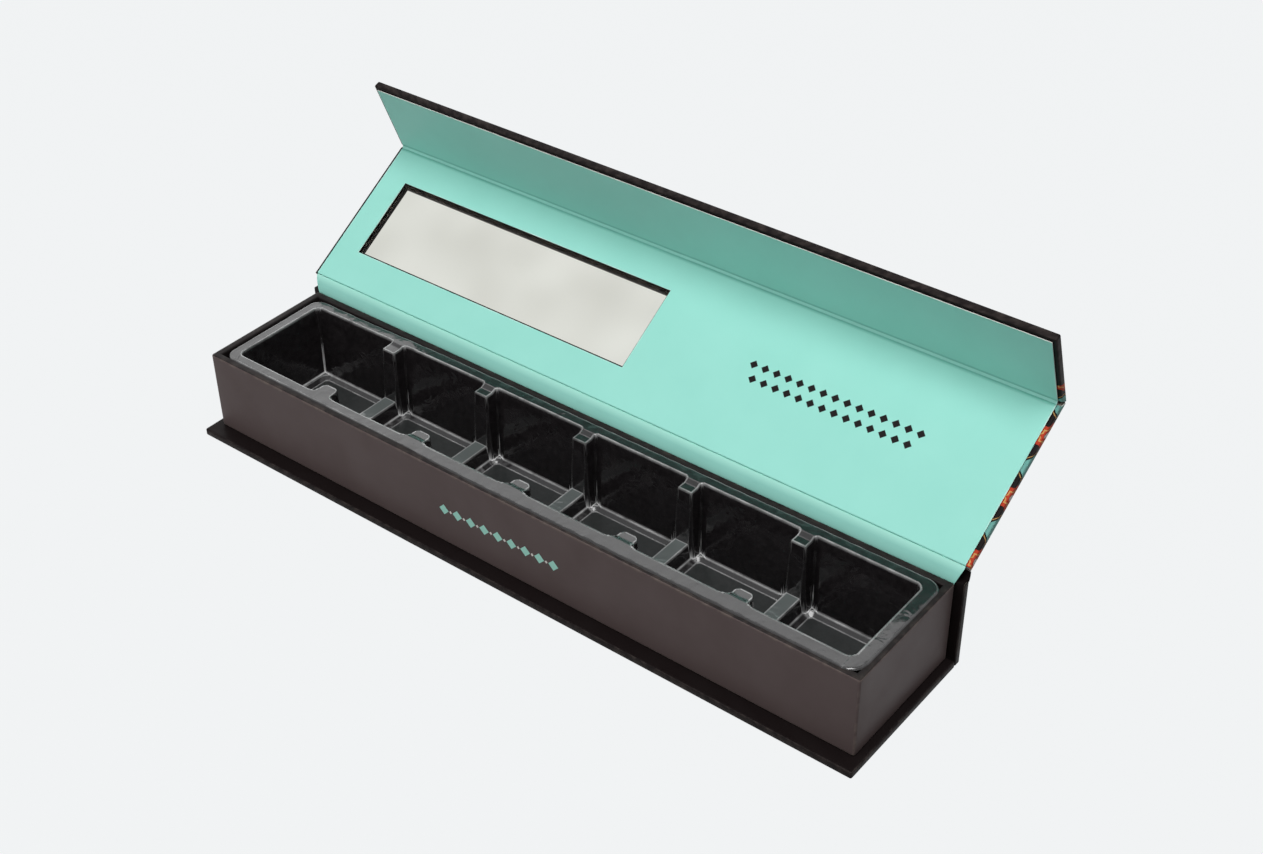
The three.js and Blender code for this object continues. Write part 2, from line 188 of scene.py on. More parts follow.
def put(tree, kind, inputs=None, **settings):
    """Adds a node with its settings, and fills the inputs that are named."""
    node = tree.nodes.new(kind)
    for name, value in settings.items():
        setattr(node, name, value)
    for name, value in (inputs or {}).items():
        wire(tree, node.inputs[name], value)
    return node


def calc(tree, operation, *values, clamp=False):
    """Adds a Math node and returns its result."""
    node = put(tree, "ShaderNodeMath", operation=operation, use_clamp=clamp)
    for socket, value in zip(node.inputs, values):
        wire(tree, socket, value)
    return node.outputs[0]


def product(tree, first, *others):
    """Multiplies several masks."""
    for other in others:
        first = calc(tree, "MULTIPLY", first, other)
    return first


def tint(tree, share, under, over):
    """Mixes two colours: none of the second at share 0, nothing else at share 1."""
    node = put(tree, "ShaderNodeMix", data_type="RGBA")
    for place, value in ((0, share), (6, under), (7, over)):
        wire(tree, node.inputs[place], value)
    return node.outputs[2]


def noise(tree, place, scale, detail, **others):
    """The value of a noise texture, whose other sockets may be named."""
    sockets = {"Vector": place, "Scale": scale, "Detail": detail} | others
    return put(tree, "ShaderNodeTexNoise", sockets).outputs[0]


def attribute(tree, name):
    """A value that the mesh carries on its points."""
    return put(tree, "ShaderNodeAttribute", attribute_name=name).outputs["Fac"]


# %% [markdown]
# A group is a node tree of its own, with sockets like a ready-made node's. It is built once, and each
# material places it with its own values.

# %% Group helpers
VECTOR = "NodeSocketVector"
FLOAT = "NodeSocketFloat"


def new_group(name, inputs, outputs):
    """Starts a node group. Inputs are (name, kind, default) and outputs (name, kind)."""
    tree = bpy.data.node_groups.new(name, "ShaderNodeTree")
    for label, kind, value in inputs:
        socket = tree.interface.new_socket(label, in_out="INPUT", socket_type=kind)
        if value is not None:
            socket.default_value = value
    for label, kind in outputs:
        tree.interface.new_socket(label, in_out="OUTPUT", socket_type=kind)
    given = put(tree, "NodeGroupInput").outputs
    made = put(tree, "NodeGroupOutput").inputs
    return tree, given, made


def use_group(tree, group, inputs):
    """Places a node group in a tree and returns its outputs."""
    return put(tree, "ShaderNodeGroup", inputs, node_tree=group).outputs


# %% [markdown]
# Paper is never quite even. Under a lamp its tone drifts over a few millimetres, and its fibres make a very
# fine tooth. A picture of paper could give both, but it would repeat. Noise doesn't, and because it is read
# in millimetres, one group serves every paper and the bare board.

# %% Paper grain
def paper_grain():
    """Two noises: a slow one for the tone and a fine one for the tooth."""
    inputs = [("Place", VECTOR, None), ("Blotch", FLOAT, 0.12), ("Fibre", FLOAT, 3.0)]
    tree, given, made = new_group("paper_grain", inputs, [("Tone", FLOAT), ("Tooth", FLOAT)])
    for label, scale, detail in (("Tone", "Blotch", 3.0), ("Tooth", "Fibre", 2.0)):
        wire(tree, made[label], noise(tree, given["Place"], given[scale], detail))
    return tree


GRAIN = paper_grain()
print("grain gives", [socket.name for socket in GRAIN.interface.items_tree if socket.in_out == "OUTPUT"])

# %% [markdown]
# Dark paper wears where it is folded over an edge: the print cracks and a paler line shows, in some places
# more than in others. That could be painted by hand. Instead each mesh carries an attribute that is 1 on
# its folded edges, and this group breaks it up, so that a new size needs no new painting. On the outer sheet
# and the tray, the paler line is partly wear and partly a painted highlight along the edge.

# %% Edge wear
WEAR_FROM = 0.42
WEAR_TO = 0.7


def edge_wear():
    """The edge mark times a noise, of which only the higher part counts, times an amount."""
    inputs = [("Place", VECTOR, None), ("Patch", FLOAT, 0.35), ("Amount", FLOAT, 0.5)]
    tree, given, made = new_group("edge_wear", inputs, [("Worn", FLOAT)])
    edge = attribute(tree, "edge")
    patch = noise(tree, given["Place"], given["Patch"], detail=4.0)
    broken = put(tree, "ShaderNodeMapRange", {"Value": patch, "From Min": WEAR_FROM, "From Max": WEAR_TO})
    wire(tree, made["Worn"], product(tree, edge, broken.outputs[0], given["Amount"]))
    return tree


WEAR = edge_wear()
print("wear is read from the mesh's edge marks")

# %% [markdown]
# The prints are plain ornament. They could be drawn in a picture, but worked out from distances they stay
# sharp at any size. A row of lozenges is the distance |u| + |v| from the nearest centre, repeated with a
# fraction. An eight-pointed star is an upright square laid over one that stands on its corner, so the
# smaller of their two distances draws it.

# %% Printed motifs
EDGE_OF_INK = 0.12
STAR_REACH = 3.1
STAR_RING = (1.8, 0.25)
STAR_HEART = 0.8
SIDE_LOZENGE = 3.9
SIDE_RING = (4.7, 0.2)
CORNER_RING = (3.4, 0.3)
CORNER_SQUARE = 1.1


def repeat(tree, value, pitch, shift):
    """The signed distance to the nearest of a row of centres a pitch apart, shifted by a share of it."""
    turns = calc(tree, "ADD", calc(tree, "DIVIDE", value, pitch), shift)
    part = calc(tree, "SUBTRACT", calc(tree, "FRACT", calc(tree, "ADD", turns, 0.5)), 0.5)
    return calc(tree, "MULTIPLY", part, pitch)


def ink(tree, reach, distance):
    """1 inside a shape and 0 outside, with a soft edge as wide as a printed dot's."""
    return calc(tree, "DIVIDE", calc(tree, "SUBTRACT", reach, distance), EDGE_OF_INK, clamp=True)


def outline(tree, distance, radius, half_width):
    """Ink along the line where a distance equals a radius."""
    return ink(tree, half_width, calc(tree, "ABSOLUTE", calc(tree, "SUBTRACT", distance, radius)))


def lozenge_row():
    """Lozenges along U: ink where |u| + |v| is within reach, cut off past the row's half length."""
    inputs = [("U", FLOAT, 0.0), ("V", FLOAT, 0.0), ("Half Length", FLOAT, 10.0), ("Pitch", FLOAT, 4.0)]
    inputs += [("Reach", FLOAT, 1.5), ("Shift", FLOAT, 0.0)]
    tree, given, made = new_group("lozenge_row", inputs, [("Ink", FLOAT)])
    across = calc(tree, "ABSOLUTE", repeat(tree, given["U"], given["Pitch"], given["Shift"]))
    distance = calc(tree, "ADD", across, calc(tree, "ABSOLUTE", given["V"]))
    inside = calc(tree, "LESS_THAN", calc(tree, "ABSOLUTE", given["U"]), given["Half Length"])
    wire(tree, made["Ink"], product(tree, ink(tree, given["Reach"], distance), inside))
    return tree


def star_lattice():
    """Stars on a square lattice, lozenges half a pitch beside them, and small squares in between."""
    inputs = [("U", FLOAT, 0.0), ("V", FLOAT, 0.0), ("Pitch", FLOAT, 20.0)]
    outputs = [("Red", FLOAT), ("Teal", FLOAT), ("Gold", FLOAT), ("White", FLOAT)]
    tree, given, made = new_group("star_lattice", inputs, outputs)

    def spread(shift_u, shift_v):
        """Distances max(|u|, |v|) and |u| + |v| from a shifted lattice."""
        u = calc(tree, "ABSOLUTE", repeat(tree, given["U"], given["Pitch"], shift_u))
        v = calc(tree, "ABSOLUTE", repeat(tree, given["V"], given["Pitch"], shift_v))
        return calc(tree, "MAXIMUM", u, v), calc(tree, "ADD", u, v)

    square, lozenge = spread(0.0, 0.0)
    star = calc(tree, "MINIMUM", square, calc(tree, "MULTIPLY", lozenge, math.sqrt(0.5)))
    beside = calc(tree, "MINIMUM", spread(0.5, 0.0)[1], spread(0.0, 0.5)[1])
    corner_square, corner = spread(0.5, 0.5)
    gold = calc(tree, "MAXIMUM", outline(tree, star, *STAR_RING), outline(tree, corner, *CORNER_RING))
    white = calc(tree, "MAXIMUM", ink(tree, CORNER_SQUARE, corner_square), ink(tree, STAR_HEART, star))
    wire(tree, made["Red"], ink(tree, STAR_REACH, star))
    wire(tree, made["Teal"], ink(tree, SIDE_LOZENGE, beside))
    wire(tree, made["Gold"], calc(tree, "MAXIMUM", gold, outline(tree, beside, *SIDE_RING)))
    wire(tree, made["White"], white)
    return tree


ROW = lozenge_row()
LATTICE = star_lattice()
print("node groups:", [group.name for group in bpy.data.node_groups])

# %% [markdown]
# Now the finishes. Each is a Principled shader in its own material. What is the same all over is set on the
# shader's socket, and what changes over the surface comes from the groups. A printed sheet reads its own
# flat coordinates, so a print follows the paper round a fold; the rest read their place in the frame.

# %% Material helpers
NOISE_LOW = 0.3
NOISE_HIGH = 0.7
finish = {}


def new_material(name, **sockets):
    """A material with one Principled shader, whose plain sockets are set by name."""
    material = bpy.data.materials.new(name)
    material.use_nodes = True
    tree = material.node_tree
    tree.nodes.clear()
    shader = put(tree, "ShaderNodeBsdfPrincipled")
    for label, value in sockets.items():
        shader.inputs[label.replace("_", " ")].default_value = value
    wire(tree, put(tree, "ShaderNodeOutputMaterial").inputs["Surface"], shader.outputs[0])
    print("finish:", name)
    return material, tree, shader.inputs


def sheet_place(tree):
    """Where a point lies on its sheet before folding, in millimetres: the vector, its U and its V."""
    place = put(tree, "ShaderNodeUVMap", uv_map="sheet").outputs[0]
    parts = put(tree, "ShaderNodeSeparateXYZ", {0: place}).outputs
    return place, parts[0], parts[1]


def object_place(tree):
    """Where a point lies in the frame, in millimetres."""
    metres = put(tree, "ShaderNodeTexCoord").outputs["Object"]
    return put(tree, "ShaderNodeVectorMath", {0: metres, "Scale": 1 / MM}, operation="SCALE").outputs[0]


def span(tree, value, low, high):
    """Brings noise, which stays near the middle of 0 to 1, to a range of its own."""
    sockets = {"Value": value, "From Min": NOISE_LOW, "From Max": NOISE_HIGH, "To Min": low, "To Max": high}
    return put(tree, "ShaderNodeMapRange", sockets).outputs[0]


def mottled(tree, tone, light, dark):
    """A colour that drifts between two tones with a noise."""
    return tint(tree, span(tree, tone, 0.0, 1.0), light, dark)


def dress(tree, shader, colour, rough=None, relief=None):
    """Fills a shader's sockets: a colour, a noise and its range as roughness, and a noise as relief, with how
    far in millimetres a height of 1 stands out."""
    wire(tree, shader["Base Color"], colour)
    if rough:
        wire(tree, shader["Roughness"], span(tree, *rough))
    if relief:
        height, rise = relief
        bump = put(tree, "ShaderNodeBump", {"Height": height, "Distance": rise * MM, "Strength": 1.0})
        wire(tree, shader["Normal"], bump.outputs[0])


# %% [markdown]
# The outer paper is near-black with a satin lamination, and on the lid it carries the star lattice, which
# runs on over the fold and round the right end as a printed sheet does. The sheet's own coordinates start
# at the lid's hinge, so the spine and the base, which lie below it, stay plain.

# %% Outer paper
LATTICE_FROM = 0.6
LATTICE_PAST_FOLD = 9.0
LATTICE_PITCH = 20.58
FIRST_STAR = 3.0
WINDOW_FRAME = 2.6
PRINT_SPAN = (-120.5, 127.0)
NEAR_BLACK = (0.0075, 0.0050, 0.0050, 1)
# edges of the outer sheet: partly wear, partly a painted highlight
WORN_AND_HIGHLIGHT_BLACK = (0.10, 0.08, 0.072, 1)
RED = (0.46, 0.045, 0.018, 1)
TEAL = (0.145, 0.37, 0.33, 1)
GOLD = (0.55, 0.31, 0.10, 1)
WHITE_INK = (0.72, 0.70, 0.66, 1)


def outside_span(tree, value, low, high):
    """How far a value lies outside a range, negative inside it."""
    middle, half = (low + high) / 2, (high - low) / 2
    return calc(tree, "SUBTRACT", calc(tree, "ABSOLUTE", calc(tree, "SUBTRACT", value, middle)), half)


def outer_paper():
    """Near-black paper with the lattice, which starts past the hinge and leaves the window a frame."""
    material, tree, shader = new_material("outer_paper", Roughness=0.5, Specular_IOR_Level=0.07)
    place, u, v = sheet_place(tree)
    from_star = calc(tree, "SUBTRACT", v, FIRST_STAR)
    prints = use_group(tree, LATTICE, {"U": u, "V": from_star, "Pitch": LATTICE_PITCH})
    after = calc(tree, "GREATER_THAN", v, LATTICE_FROM)
    before = calc(tree, "LESS_THAN", v, lid_depth + LATTICE_PAST_FOLD)
    off_window = calc(tree, "MAXIMUM", outside_span(tree, u, *window_x), outside_span(tree, v, *window_s))
    beyond = calc(tree, "GREATER_THAN", off_window, WINDOW_FRAME)
    between = calc(tree, "LESS_THAN", outside_span(tree, u, *PRINT_SPAN), 0.0)
    printed = product(tree, after, before, beyond, between)
    grain = use_group(tree, GRAIN, {"Place": place})
    colour = NEAR_BLACK
    for label, paint in (("Red", RED), ("Teal", TEAL), ("Gold", GOLD), ("White", WHITE_INK)):
        colour = tint(tree, product(tree, prints[label], printed), colour, paint)
    # paler edges: partly wear, partly a painted highlight along the folded edges
    paled_edge = use_group(tree, WEAR, {"Place": place, "Amount": 0.28})["Worn"]
    colour = tint(tree, paled_edge, colour, WORN_AND_HIGHLIGHT_BLACK)
    dress(tree, shader, colour, rough=(grain["Tone"], 0.42, 0.56), relief=(grain["Tooth"], 0.01))
    return material


finish["outer"] = outer_paper()

# %% [markdown]
# The lining is smooth mint paper. Its colour is darkened as painted shade along a crease line on each side
# of the fold and along a thin line at the lid's edge, and lightened as painted light on the strip below that
# edge. Two rows of small black lozenges, set half a step apart, are printed on the right half of the lid. Its
# cut edges show the sheet's white core as a thin pale line.

# %% Lining paper
MINT = (0.33, 0.72, 0.63, 1)
MINT_DEEP = (0.31, 0.695, 0.605, 1)
# painted shade for the crease lines and the lid's edge
MINT_PAINTED_SHADE = (0.11, 0.42, 0.34, 1)
# painted light for the strip below the lid's edge
MINT_PAINTED_LIGHT = (0.48, 0.92, 0.80, 1)
CUT_EDGE = (0.78, 0.90, 0.85, 1)
BORDER_AT = (63.75, 27.2)
BORDER_COUNT = 15
BORDER_PITCH = 4.0
BORDER_ROWS = 2.15
BORDER_REACH = 1.45
CREASE_SHADE_REACH = 1.0
CREASE_SHADE_SHARE = 0.9
HINGE_LINE = 0.45
HINGE_LINE_SHARE = 0.75
PAINTED_LIGHT_REACH = 3.0


def border_ink(tree, u, v):
    """Two rows of lozenges, the second one lozenge shorter and half a step along."""
    u = calc(tree, "SUBTRACT", u, BORDER_AT[0])
    v = calc(tree, "SUBTRACT", v, BORDER_AT[1])
    black = 0.0
    for offset, fewer, shift in ((BORDER_ROWS, 0, 0.0), (-BORDER_ROWS, 1, 0.5)):
        row = {"U": u, "V": calc(tree, "SUBTRACT", v, offset), "Shift": shift, "Pitch": BORDER_PITCH}
        row |= {"Half Length": (BORDER_COUNT - fewer) * BORDER_PITCH / 2, "Reach": BORDER_REACH}
        black = calc(tree, "MAXIMUM", black, use_group(tree, ROW, row)["Ink"])
    return black


def crease_shade(tree, v):
    """How much painted shade darkens the sheet, near two lines at the fold's groove and near the lid's edge.
    """
    from_fold = calc(tree, "ABSOLUTE", calc(tree, "SUBTRACT", v, lid_depth))
    off_crease = calc(tree, "ABSOLUTE", calc(tree, "SUBTRACT", from_fold, groove_half))
    at_fold = calc(tree, "SUBTRACT", 1.0, calc(tree, "DIVIDE", off_crease, CREASE_SHADE_REACH), clamp=True)
    off_line = calc(tree, "ABSOLUTE", calc(tree, "SUBTRACT", v, lid_start))
    at_edge = calc(tree, "SUBTRACT", HINGE_LINE_SHARE, calc(tree, "DIVIDE", off_line, HINGE_LINE), clamp=True)
    return product(tree, calc(tree, "MAXIMUM", at_fold, at_edge), CREASE_SHADE_SHARE)


def lining_paper():
    """Mint paper: mottled, lightened below the lid's edge as painted light, darkened along the crease lines
    as painted shade, then printed.
    """
    material, tree, shader = new_material("lining_paper", Roughness=0.42, Specular_IOR_Level=0.12)
    place, u, v = sheet_place(tree)
    grain = use_group(tree, GRAIN, {"Place": place, "Blotch": 0.05})
    # painted light: the sheet is lightened below the lid's edge, fading over a few millimetres
    from_hinge = calc(tree, "SUBTRACT", v, lid_start)
    fading = calc(tree, "ADD", calc(tree, "DIVIDE", from_hinge, PAINTED_LIGHT_REACH), 1.0, clamp=True)
    painted_light_share = product(tree, fading, calc(tree, "LESS_THAN", from_hinge, 0.0))
    mint = mottled(tree, grain["Tone"], MINT, MINT_DEEP)
    mint = tint(tree, painted_light_share, mint, MINT_PAINTED_LIGHT)
    # painted shade along the crease lines and the lid's edge
    mint = tint(tree, crease_shade(tree, v), mint, MINT_PAINTED_SHADE)
    paled_edge = use_group(tree, WEAR, {"Place": place, "Patch": 0.08, "Amount": 0.9})["Worn"]
    mint = tint(tree, paled_edge, mint, CUT_EDGE)
    mint = tint(tree, border_ink(tree, u, v), mint, NEAR_BLACK)
    dress(tree, shader, mint, rough=(grain["Tooth"], 0.38, 0.46), relief=(grain["Tooth"], 0.006))
    return material


finish["lining"] = lining_paper()

# %% [markdown]
# The tray's paper is a very dark brown. On its front stands one row of mint lozenges with pale dots between
# them. The print is worked out from the frame's X and Z, and only where a point lies on the front wall. The
# rim and the inside of the tray are faced with a blacker, duller paper.

# %% Tray paper
TRAY_BROWN = (0.100, 0.075, 0.0735, 1)
TRAY_DEEP = (0.089, 0.0655, 0.064, 1)
# paler edge colour; on the tray partly wear and partly a painted highlight
PALE_EDGE_BROWN = (0.15, 0.12, 0.105, 1)
RIM_BLACK = (0.009, 0.0062, 0.006, 1)
MINT_INK = (0.36, 0.70, 0.60, 1)
FRONT_ROW_AT = (-1.5, 14.8)
FRONT_ROW_COUNT = 9
FRONT_ROW_PITCH = 5.2
FRONT_LOZENGE = 1.9
FRONT_DOT = 0.62
FRONT_SKIN = 0.3


def front_row(tree, x, z):
    """Ink of the lozenges on the tray's front, and of the dots between them."""
    row = {"U": calc(tree, "SUBTRACT", x, FRONT_ROW_AT[0]), "V": calc(tree, "SUBTRACT", z, FRONT_ROW_AT[1])}
    row |= {"Pitch": FRONT_ROW_PITCH}
    half = FRONT_ROW_COUNT * FRONT_ROW_PITCH / 2
    lozenges = {"Reach": FRONT_LOZENGE, "Half Length": half}
    dots = {"Reach": FRONT_DOT, "Shift": 0.5, "Half Length": half - FRONT_ROW_PITCH / 2}
    return [use_group(tree, ROW, row | kind)["Ink"] for kind in (lozenges, dots)]


def tray_paper():
    """Dark brown paper, paler at its edges from wear and a painted highlight, with the row of lozenges on the
    front wall.
    """
    material, tree, shader = new_material("tray_paper", Roughness=0.45, Specular_IOR_Level=0.1)
    place = object_place(tree)
    x, y, z = put(tree, "ShaderNodeSeparateXYZ", {0: place}).outputs
    on_front = calc(tree, "LESS_THAN", y, tray_low[1] + FRONT_SKIN)
    grain = use_group(tree, GRAIN, {"Place": place, "Blotch": 0.06})
    brown = mottled(tree, grain["Tone"], TRAY_BROWN, TRAY_DEEP)
    # paler edges: partly wear, partly a painted highlight along the corners and the rim
    paled_edge = use_group(tree, WEAR, {"Place": place, "Amount": 0.8})["Worn"]
    colour = tint(tree, paled_edge, brown, PALE_EDGE_BROWN)
    for mask, paint in zip(front_row(tree, x, z), (MINT_INK, WHITE_INK)):
        colour = tint(tree, product(tree, mask, on_front), colour, paint)
    dress(tree, shader, colour, rough=(grain["Tone"], 0.40, 0.50), relief=(grain["Tooth"], 0.012))
    return material


def rim_paper():
    """Black paper with a matt face and a little wear at its edges."""
    material, tree, shader = new_material("rim_paper", Roughness=0.6, Specular_IOR_Level=0.16)
    place = object_place(tree)
    grain = use_group(tree, GRAIN, {"Place": place, "Blotch": 0.2})
    paled_edge = use_group(tree, WEAR, {"Place": place, "Amount": 0.2})["Worn"]
    colour = tint(tree, paled_edge, mottled(tree, grain["Tone"], RIM_BLACK, NEAR_BLACK), PALE_EDGE_BROWN)
    dress(tree, shader, colour, rough=(grain["Tone"], 0.52, 0.68), relief=(grain["Tooth"], 0.012))
    return material


finish["tray"] = tray_paper()
finish["rim"] = rim_paper()

# %% [markdown]
# The insert is black plastic, drawn down hot over a mould. It is glossy, with faint waves where the sheet
# cooled unevenly and fine rubs. Its level parts carry a painted reflection in grey, and its tight bends
# carry painted highlights as white lines. Both follow the shape, so they are marks on the mesh's points. The
# window's film is clear, with a faint cloudy tone.

# %% Plastic finishes
PLASTIC_BLACK = (0.007, 0.006, 0.0065, 1)
PLASTIC_RUBBED = (0.016, 0.0142, 0.015, 1)
# painted reflection: the grey laid on the level parts
PLASTIC_PAINTED_REFLECTION = (0.105, 0.12, 0.118, 1)
# painted highlight: the white laid along tight bends
PAINTED_HIGHLIGHT_WHITE = (0.9, 0.9, 0.9, 1)
FILM_CLOUD = (0.73, 0.722, 0.66, 1)
FILM_CLEAR = (0.86, 0.855, 0.79, 1)


def insert_plastic():
    """Black plastic: rubbed, with a painted reflection on its level parts and painted highlights along its
    tight bends.
    """
    material, tree, shader = new_material("insert_plastic", Roughness=0.2, IOR=1.56)
    place = object_place(tree)
    wave = noise(tree, place, scale=0.16, detail=2.0, Distortion=0.6)
    rub = noise(tree, place, scale=0.5, detail=5.0, Roughness=0.65)
    black = mottled(tree, rub, PLASTIC_BLACK, PLASTIC_RUBBED)
    # painted reflection: the level tops of the saddles and, less, the floors are lightened to grey
    black = tint(tree, attribute(tree, "painted_reflection"), black, PLASTIC_PAINTED_REFLECTION)
    # painted highlight: white lines along the tight bends, broken up by the wave noise
    white = product(tree, attribute(tree, "edge"), span(tree, wave, 0.35, 1.0))
    colour = tint(tree, white, black, PAINTED_HIGHLIGHT_WHITE)
    dress(tree, shader, colour, rough=(rub, 0.08, 0.20), relief=(wave, 0.3))
    return material


def clear_film():
    """Clear film, all transmission, with a slow cloud and a slow sag."""
    material, tree, shader = new_material("clear_film", Roughness=0.05, IOR=1.12, Transmission_Weight=1.0)
    sag = noise(tree, object_place(tree), scale=0.035, detail=1.0)
    dress(tree, shader, mottled(tree, sag, FILM_CLOUD, FILM_CLEAR), relief=(sag, 0.6))
    return material


finish["insert"] = insert_plastic()
finish["film"] = clear_film()

# %% [markdown]
# Greyboard, steel, paper tape and the core of the papers are hidden once the box is wrapped, or show as a
# cut edge only. The pieces are there, so they get the finish they have on the bench: pressed waste paper
# with flecks, turned discs, and brown gummed tape.

# %% Hidden stock
PALE_CORE = (0.72, 0.72, 0.68, 1)
DEEP_CORE = (0.60, 0.60, 0.55, 1)
GREY = (0.30, 0.27, 0.225, 1)
GREY_DEEP = (0.22, 0.195, 0.165, 1)
STEEL = (0.42, 0.43, 0.44, 1)
STEEL_BRIGHT = (0.52, 0.53, 0.54, 1)
TAPE = (0.42, 0.26, 0.12, 1)
TAPE_DEEP = (0.34, 0.20, 0.09, 1)


def plain_stock(name, light, dark, roughness, tooth=None, **sockets):
    """A finish with no print: two tones of grain, and a tooth of so many millimetres, if any."""
    material, tree, shader = new_material(name, Roughness=roughness)
    grain = use_group(tree, GRAIN, {"Place": object_place(tree)} | sockets)
    relief = (grain["Tooth"], tooth) if tooth else None
    dress(tree, shader, mottled(tree, grain["Tone"], light, dark), relief=relief)
    return material


def steel_disc():
    """Steel with a fine turned grain, which sets its tone and its roughness."""
    material, tree, shader = new_material("steel_disc", Metallic=1.0, Roughness=0.3)
    turned = noise(tree, object_place(tree), scale=2.5, detail=3.0)
    dress(tree, shader, tint(tree, turned, STEEL, STEEL_BRIGHT), rough=(turned, 0.24, 0.4))
    return material


finish["core"] = plain_stock("paper_core", PALE_CORE, DEEP_CORE, roughness=0.85, Blotch=1.5)
finish["board"] = plain_stock("greyboard", GREY, GREY_DEEP, roughness=0.9, tooth=0.03, Blotch=0.8, Fibre=5.0)
finish["steel"] = steel_disc()
finish["tape"] = plain_stock("gummed_tape", TAPE, TAPE_DEEP, roughness=0.75, tooth=0.01, Blotch=0.5)

# %% [markdown]
# A mesh could be pulled into shape by hand, but then it wouldn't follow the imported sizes. Here it is made
# from whole arrays. A patch is four of them: points, sheet coordinates, edge marks and faces. Patches that
# share an edge are welded by rounding their points to a tenth of a micrometre, so a sheet of several
# patches becomes one.

# %% Patches
WELD = 0.0001


def lines(step, *stops):
    """Grid lines about a step apart, with a line at every stop. A list gives each stretch its own step."""
    runs = zip(np.broadcast_to(step, len(stops) - 1), stops, stops[1:])
    parts = [np.linspace(a, b, max(2, math.ceil((b - a) / gap) + 1))[:-1] for gap, a, b in runs]
    return np.concatenate([*parts, stops[-1:]])


def grid_faces(rows, columns, keep=None):
    """Quads of a grid of points laid out row by row. Keep, if given, says which cells stay."""
    i, j = np.meshgrid(np.arange(rows - 1), np.arange(columns - 1), indexing="ij")
    if keep is not None:
        i, j = i[keep], j[keep]
    a = (i * columns + j).ravel()
    return np.stack([a, a + columns, a + columns + 1, a + 1], 1)


def loop_faces(count, size, inwards=False):
    """Quads between so many neighbouring closed loops, each of the same number of points."""
    row, i = (a.ravel() for a in np.meshgrid(np.arange(count - 1), np.arange(size), indexing="ij"))
    here = row * size + i
    after = row * size + (i + 1) % size
    quads = np.stack([here, after, after + size, here + size], 1)
    return quads[:, [0, 3, 2, 1]] if inwards else quads


def lifted(loops_xy, z):
    """Rows of plane loops, each at a height of its own, as points."""
    heights = np.broadcast_to(z[..., None], loops_xy.shape[:2] + (1,))
    return np.concatenate([loops_xy, heights], -1).reshape(-1, 3)


def joined(*patches):
    """Several patches as one, with their faces numbered on."""
    firsts = np.cumsum([0] + [len(patch[0]) for patch in patches])
    points, sheet, mark = (np.concatenate([patch[k] for patch in patches]) for k in range(3))
    faces = np.concatenate([patch[3] + first for patch, first in zip(patches, firsts)])
    return points, sheet, mark, faces


def weld(points, faces, *values):
    """Points that fall together become one, and faces that collapse are dropped."""
    keys = np.round(points / WELD).astype(np.int64)
    _, first, back = np.unique(keys, axis=0, return_index=True, return_inverse=True)
    corners = [list(dict.fromkeys(face)) for face in back.reshape(-1)[faces].tolist()]
    return points[first], [c for c in corners if len(c) > 2], *[value[first] for value in values]


# %% [markdown]
# Paper gets its thickness from Solidify, inwards from the face that shows, and the rim it makes takes the
# second material, the paper's core. Marks such as the worn edges go onto the points as attributes.

# %% Mesh helpers
PAPER = 0.2
SHARP = math.radians(34)


def sharpen(mesh):
    """Sharp edges at tight bends, and all round an open sheet, so that its rim doesn't shade its face."""
    mesh.set_sharp_from_angle(angle=SHARP)
    used = np.empty(len(mesh.loops), np.int32)
    mesh.loops.foreach_get("edge_index", used)
    border = np.bincount(used, minlength=len(mesh.edges)) == 1
    marks = mesh.attributes.get("sharp_edge") or mesh.attributes.new("sharp_edge", "BOOLEAN", "EDGE")
    sharp = np.empty(len(mesh.edges), bool)
    marks.data.foreach_get("value", sharp)
    marks.data.foreach_set("value", sharp | border)


def make_piece(name, points, faces, materials, sheet=None, slots=None, **marks):
    """A mesh object from points in millimetres, with sheet coordinates, face slots and point marks if any."""
    mesh = bpy.data.meshes.new(name)
    mesh.from_pydata((points * MM).tolist(), [], faces if isinstance(faces, list) else faces.tolist())
    if sheet is not None:
        corner = np.empty(len(mesh.loops), np.int32)
        mesh.loops.foreach_get("vertex_index", corner)
        layer = mesh.uv_layers.new(name="sheet")
        layer.data.foreach_set("uv", sheet[corner].astype(np.float32).ravel())
    for label, values in marks.items():
        mark = mesh.attributes.new(label, "FLOAT", "POINT")
        mark.data.foreach_set("value", values.astype(np.float32).ravel())
    mesh.polygons.foreach_set("use_smooth", np.ones(len(mesh.polygons), bool))
    sharpen(mesh)
    for material in materials:
        mesh.materials.append(finish[material])
    if slots is not None:
        mesh.polygons.foreach_set("material_index", slots.astype(np.int32))
    piece = bpy.data.objects.new(name, mesh)
    bpy.context.scene.collection.objects.link(piece)
    print(name, len(mesh.vertices), "points", len(mesh.polygons), "faces")
    return piece


def thicken(piece, thickness):
    """Gives a sheet its thickness, inwards from the face that shows."""
    solid = piece.modifiers.new("thickness", "SOLIDIFY")
    solid.thickness = thickness * MM
    solid.offset = -1
    solid.use_even_offset = True
    solid.material_offset_rim = 1 if len(piece.data.materials) > 1 else 0
    return piece


def paper_piece(name, patch, materials=("outer", "core")):
    """A welded patch as a piece of paper."""
    points, sheet, mark, faces = patch
    points, faces, sheet, mark = weld(points, faces, sheet, mark)
    return thicken(make_piece(name, points, faces, materials, sheet, edge=mark), PAPER)


# %% [markdown]
# A wrapped board is the shape that makes this box. A slab with a bevel would look like a solid block. The
# real sheet lies flat on the outer face, turns a tight corner onto the edge, turns again and lies in over
# the inner face. That path is a profile with three numbers: how far in from the edge, how deep, and how
# much paper has been used. Carried round the board, it gives the mesh, and the paper used gives the sheet's
# own coordinates, so a print runs round the edge without a break.

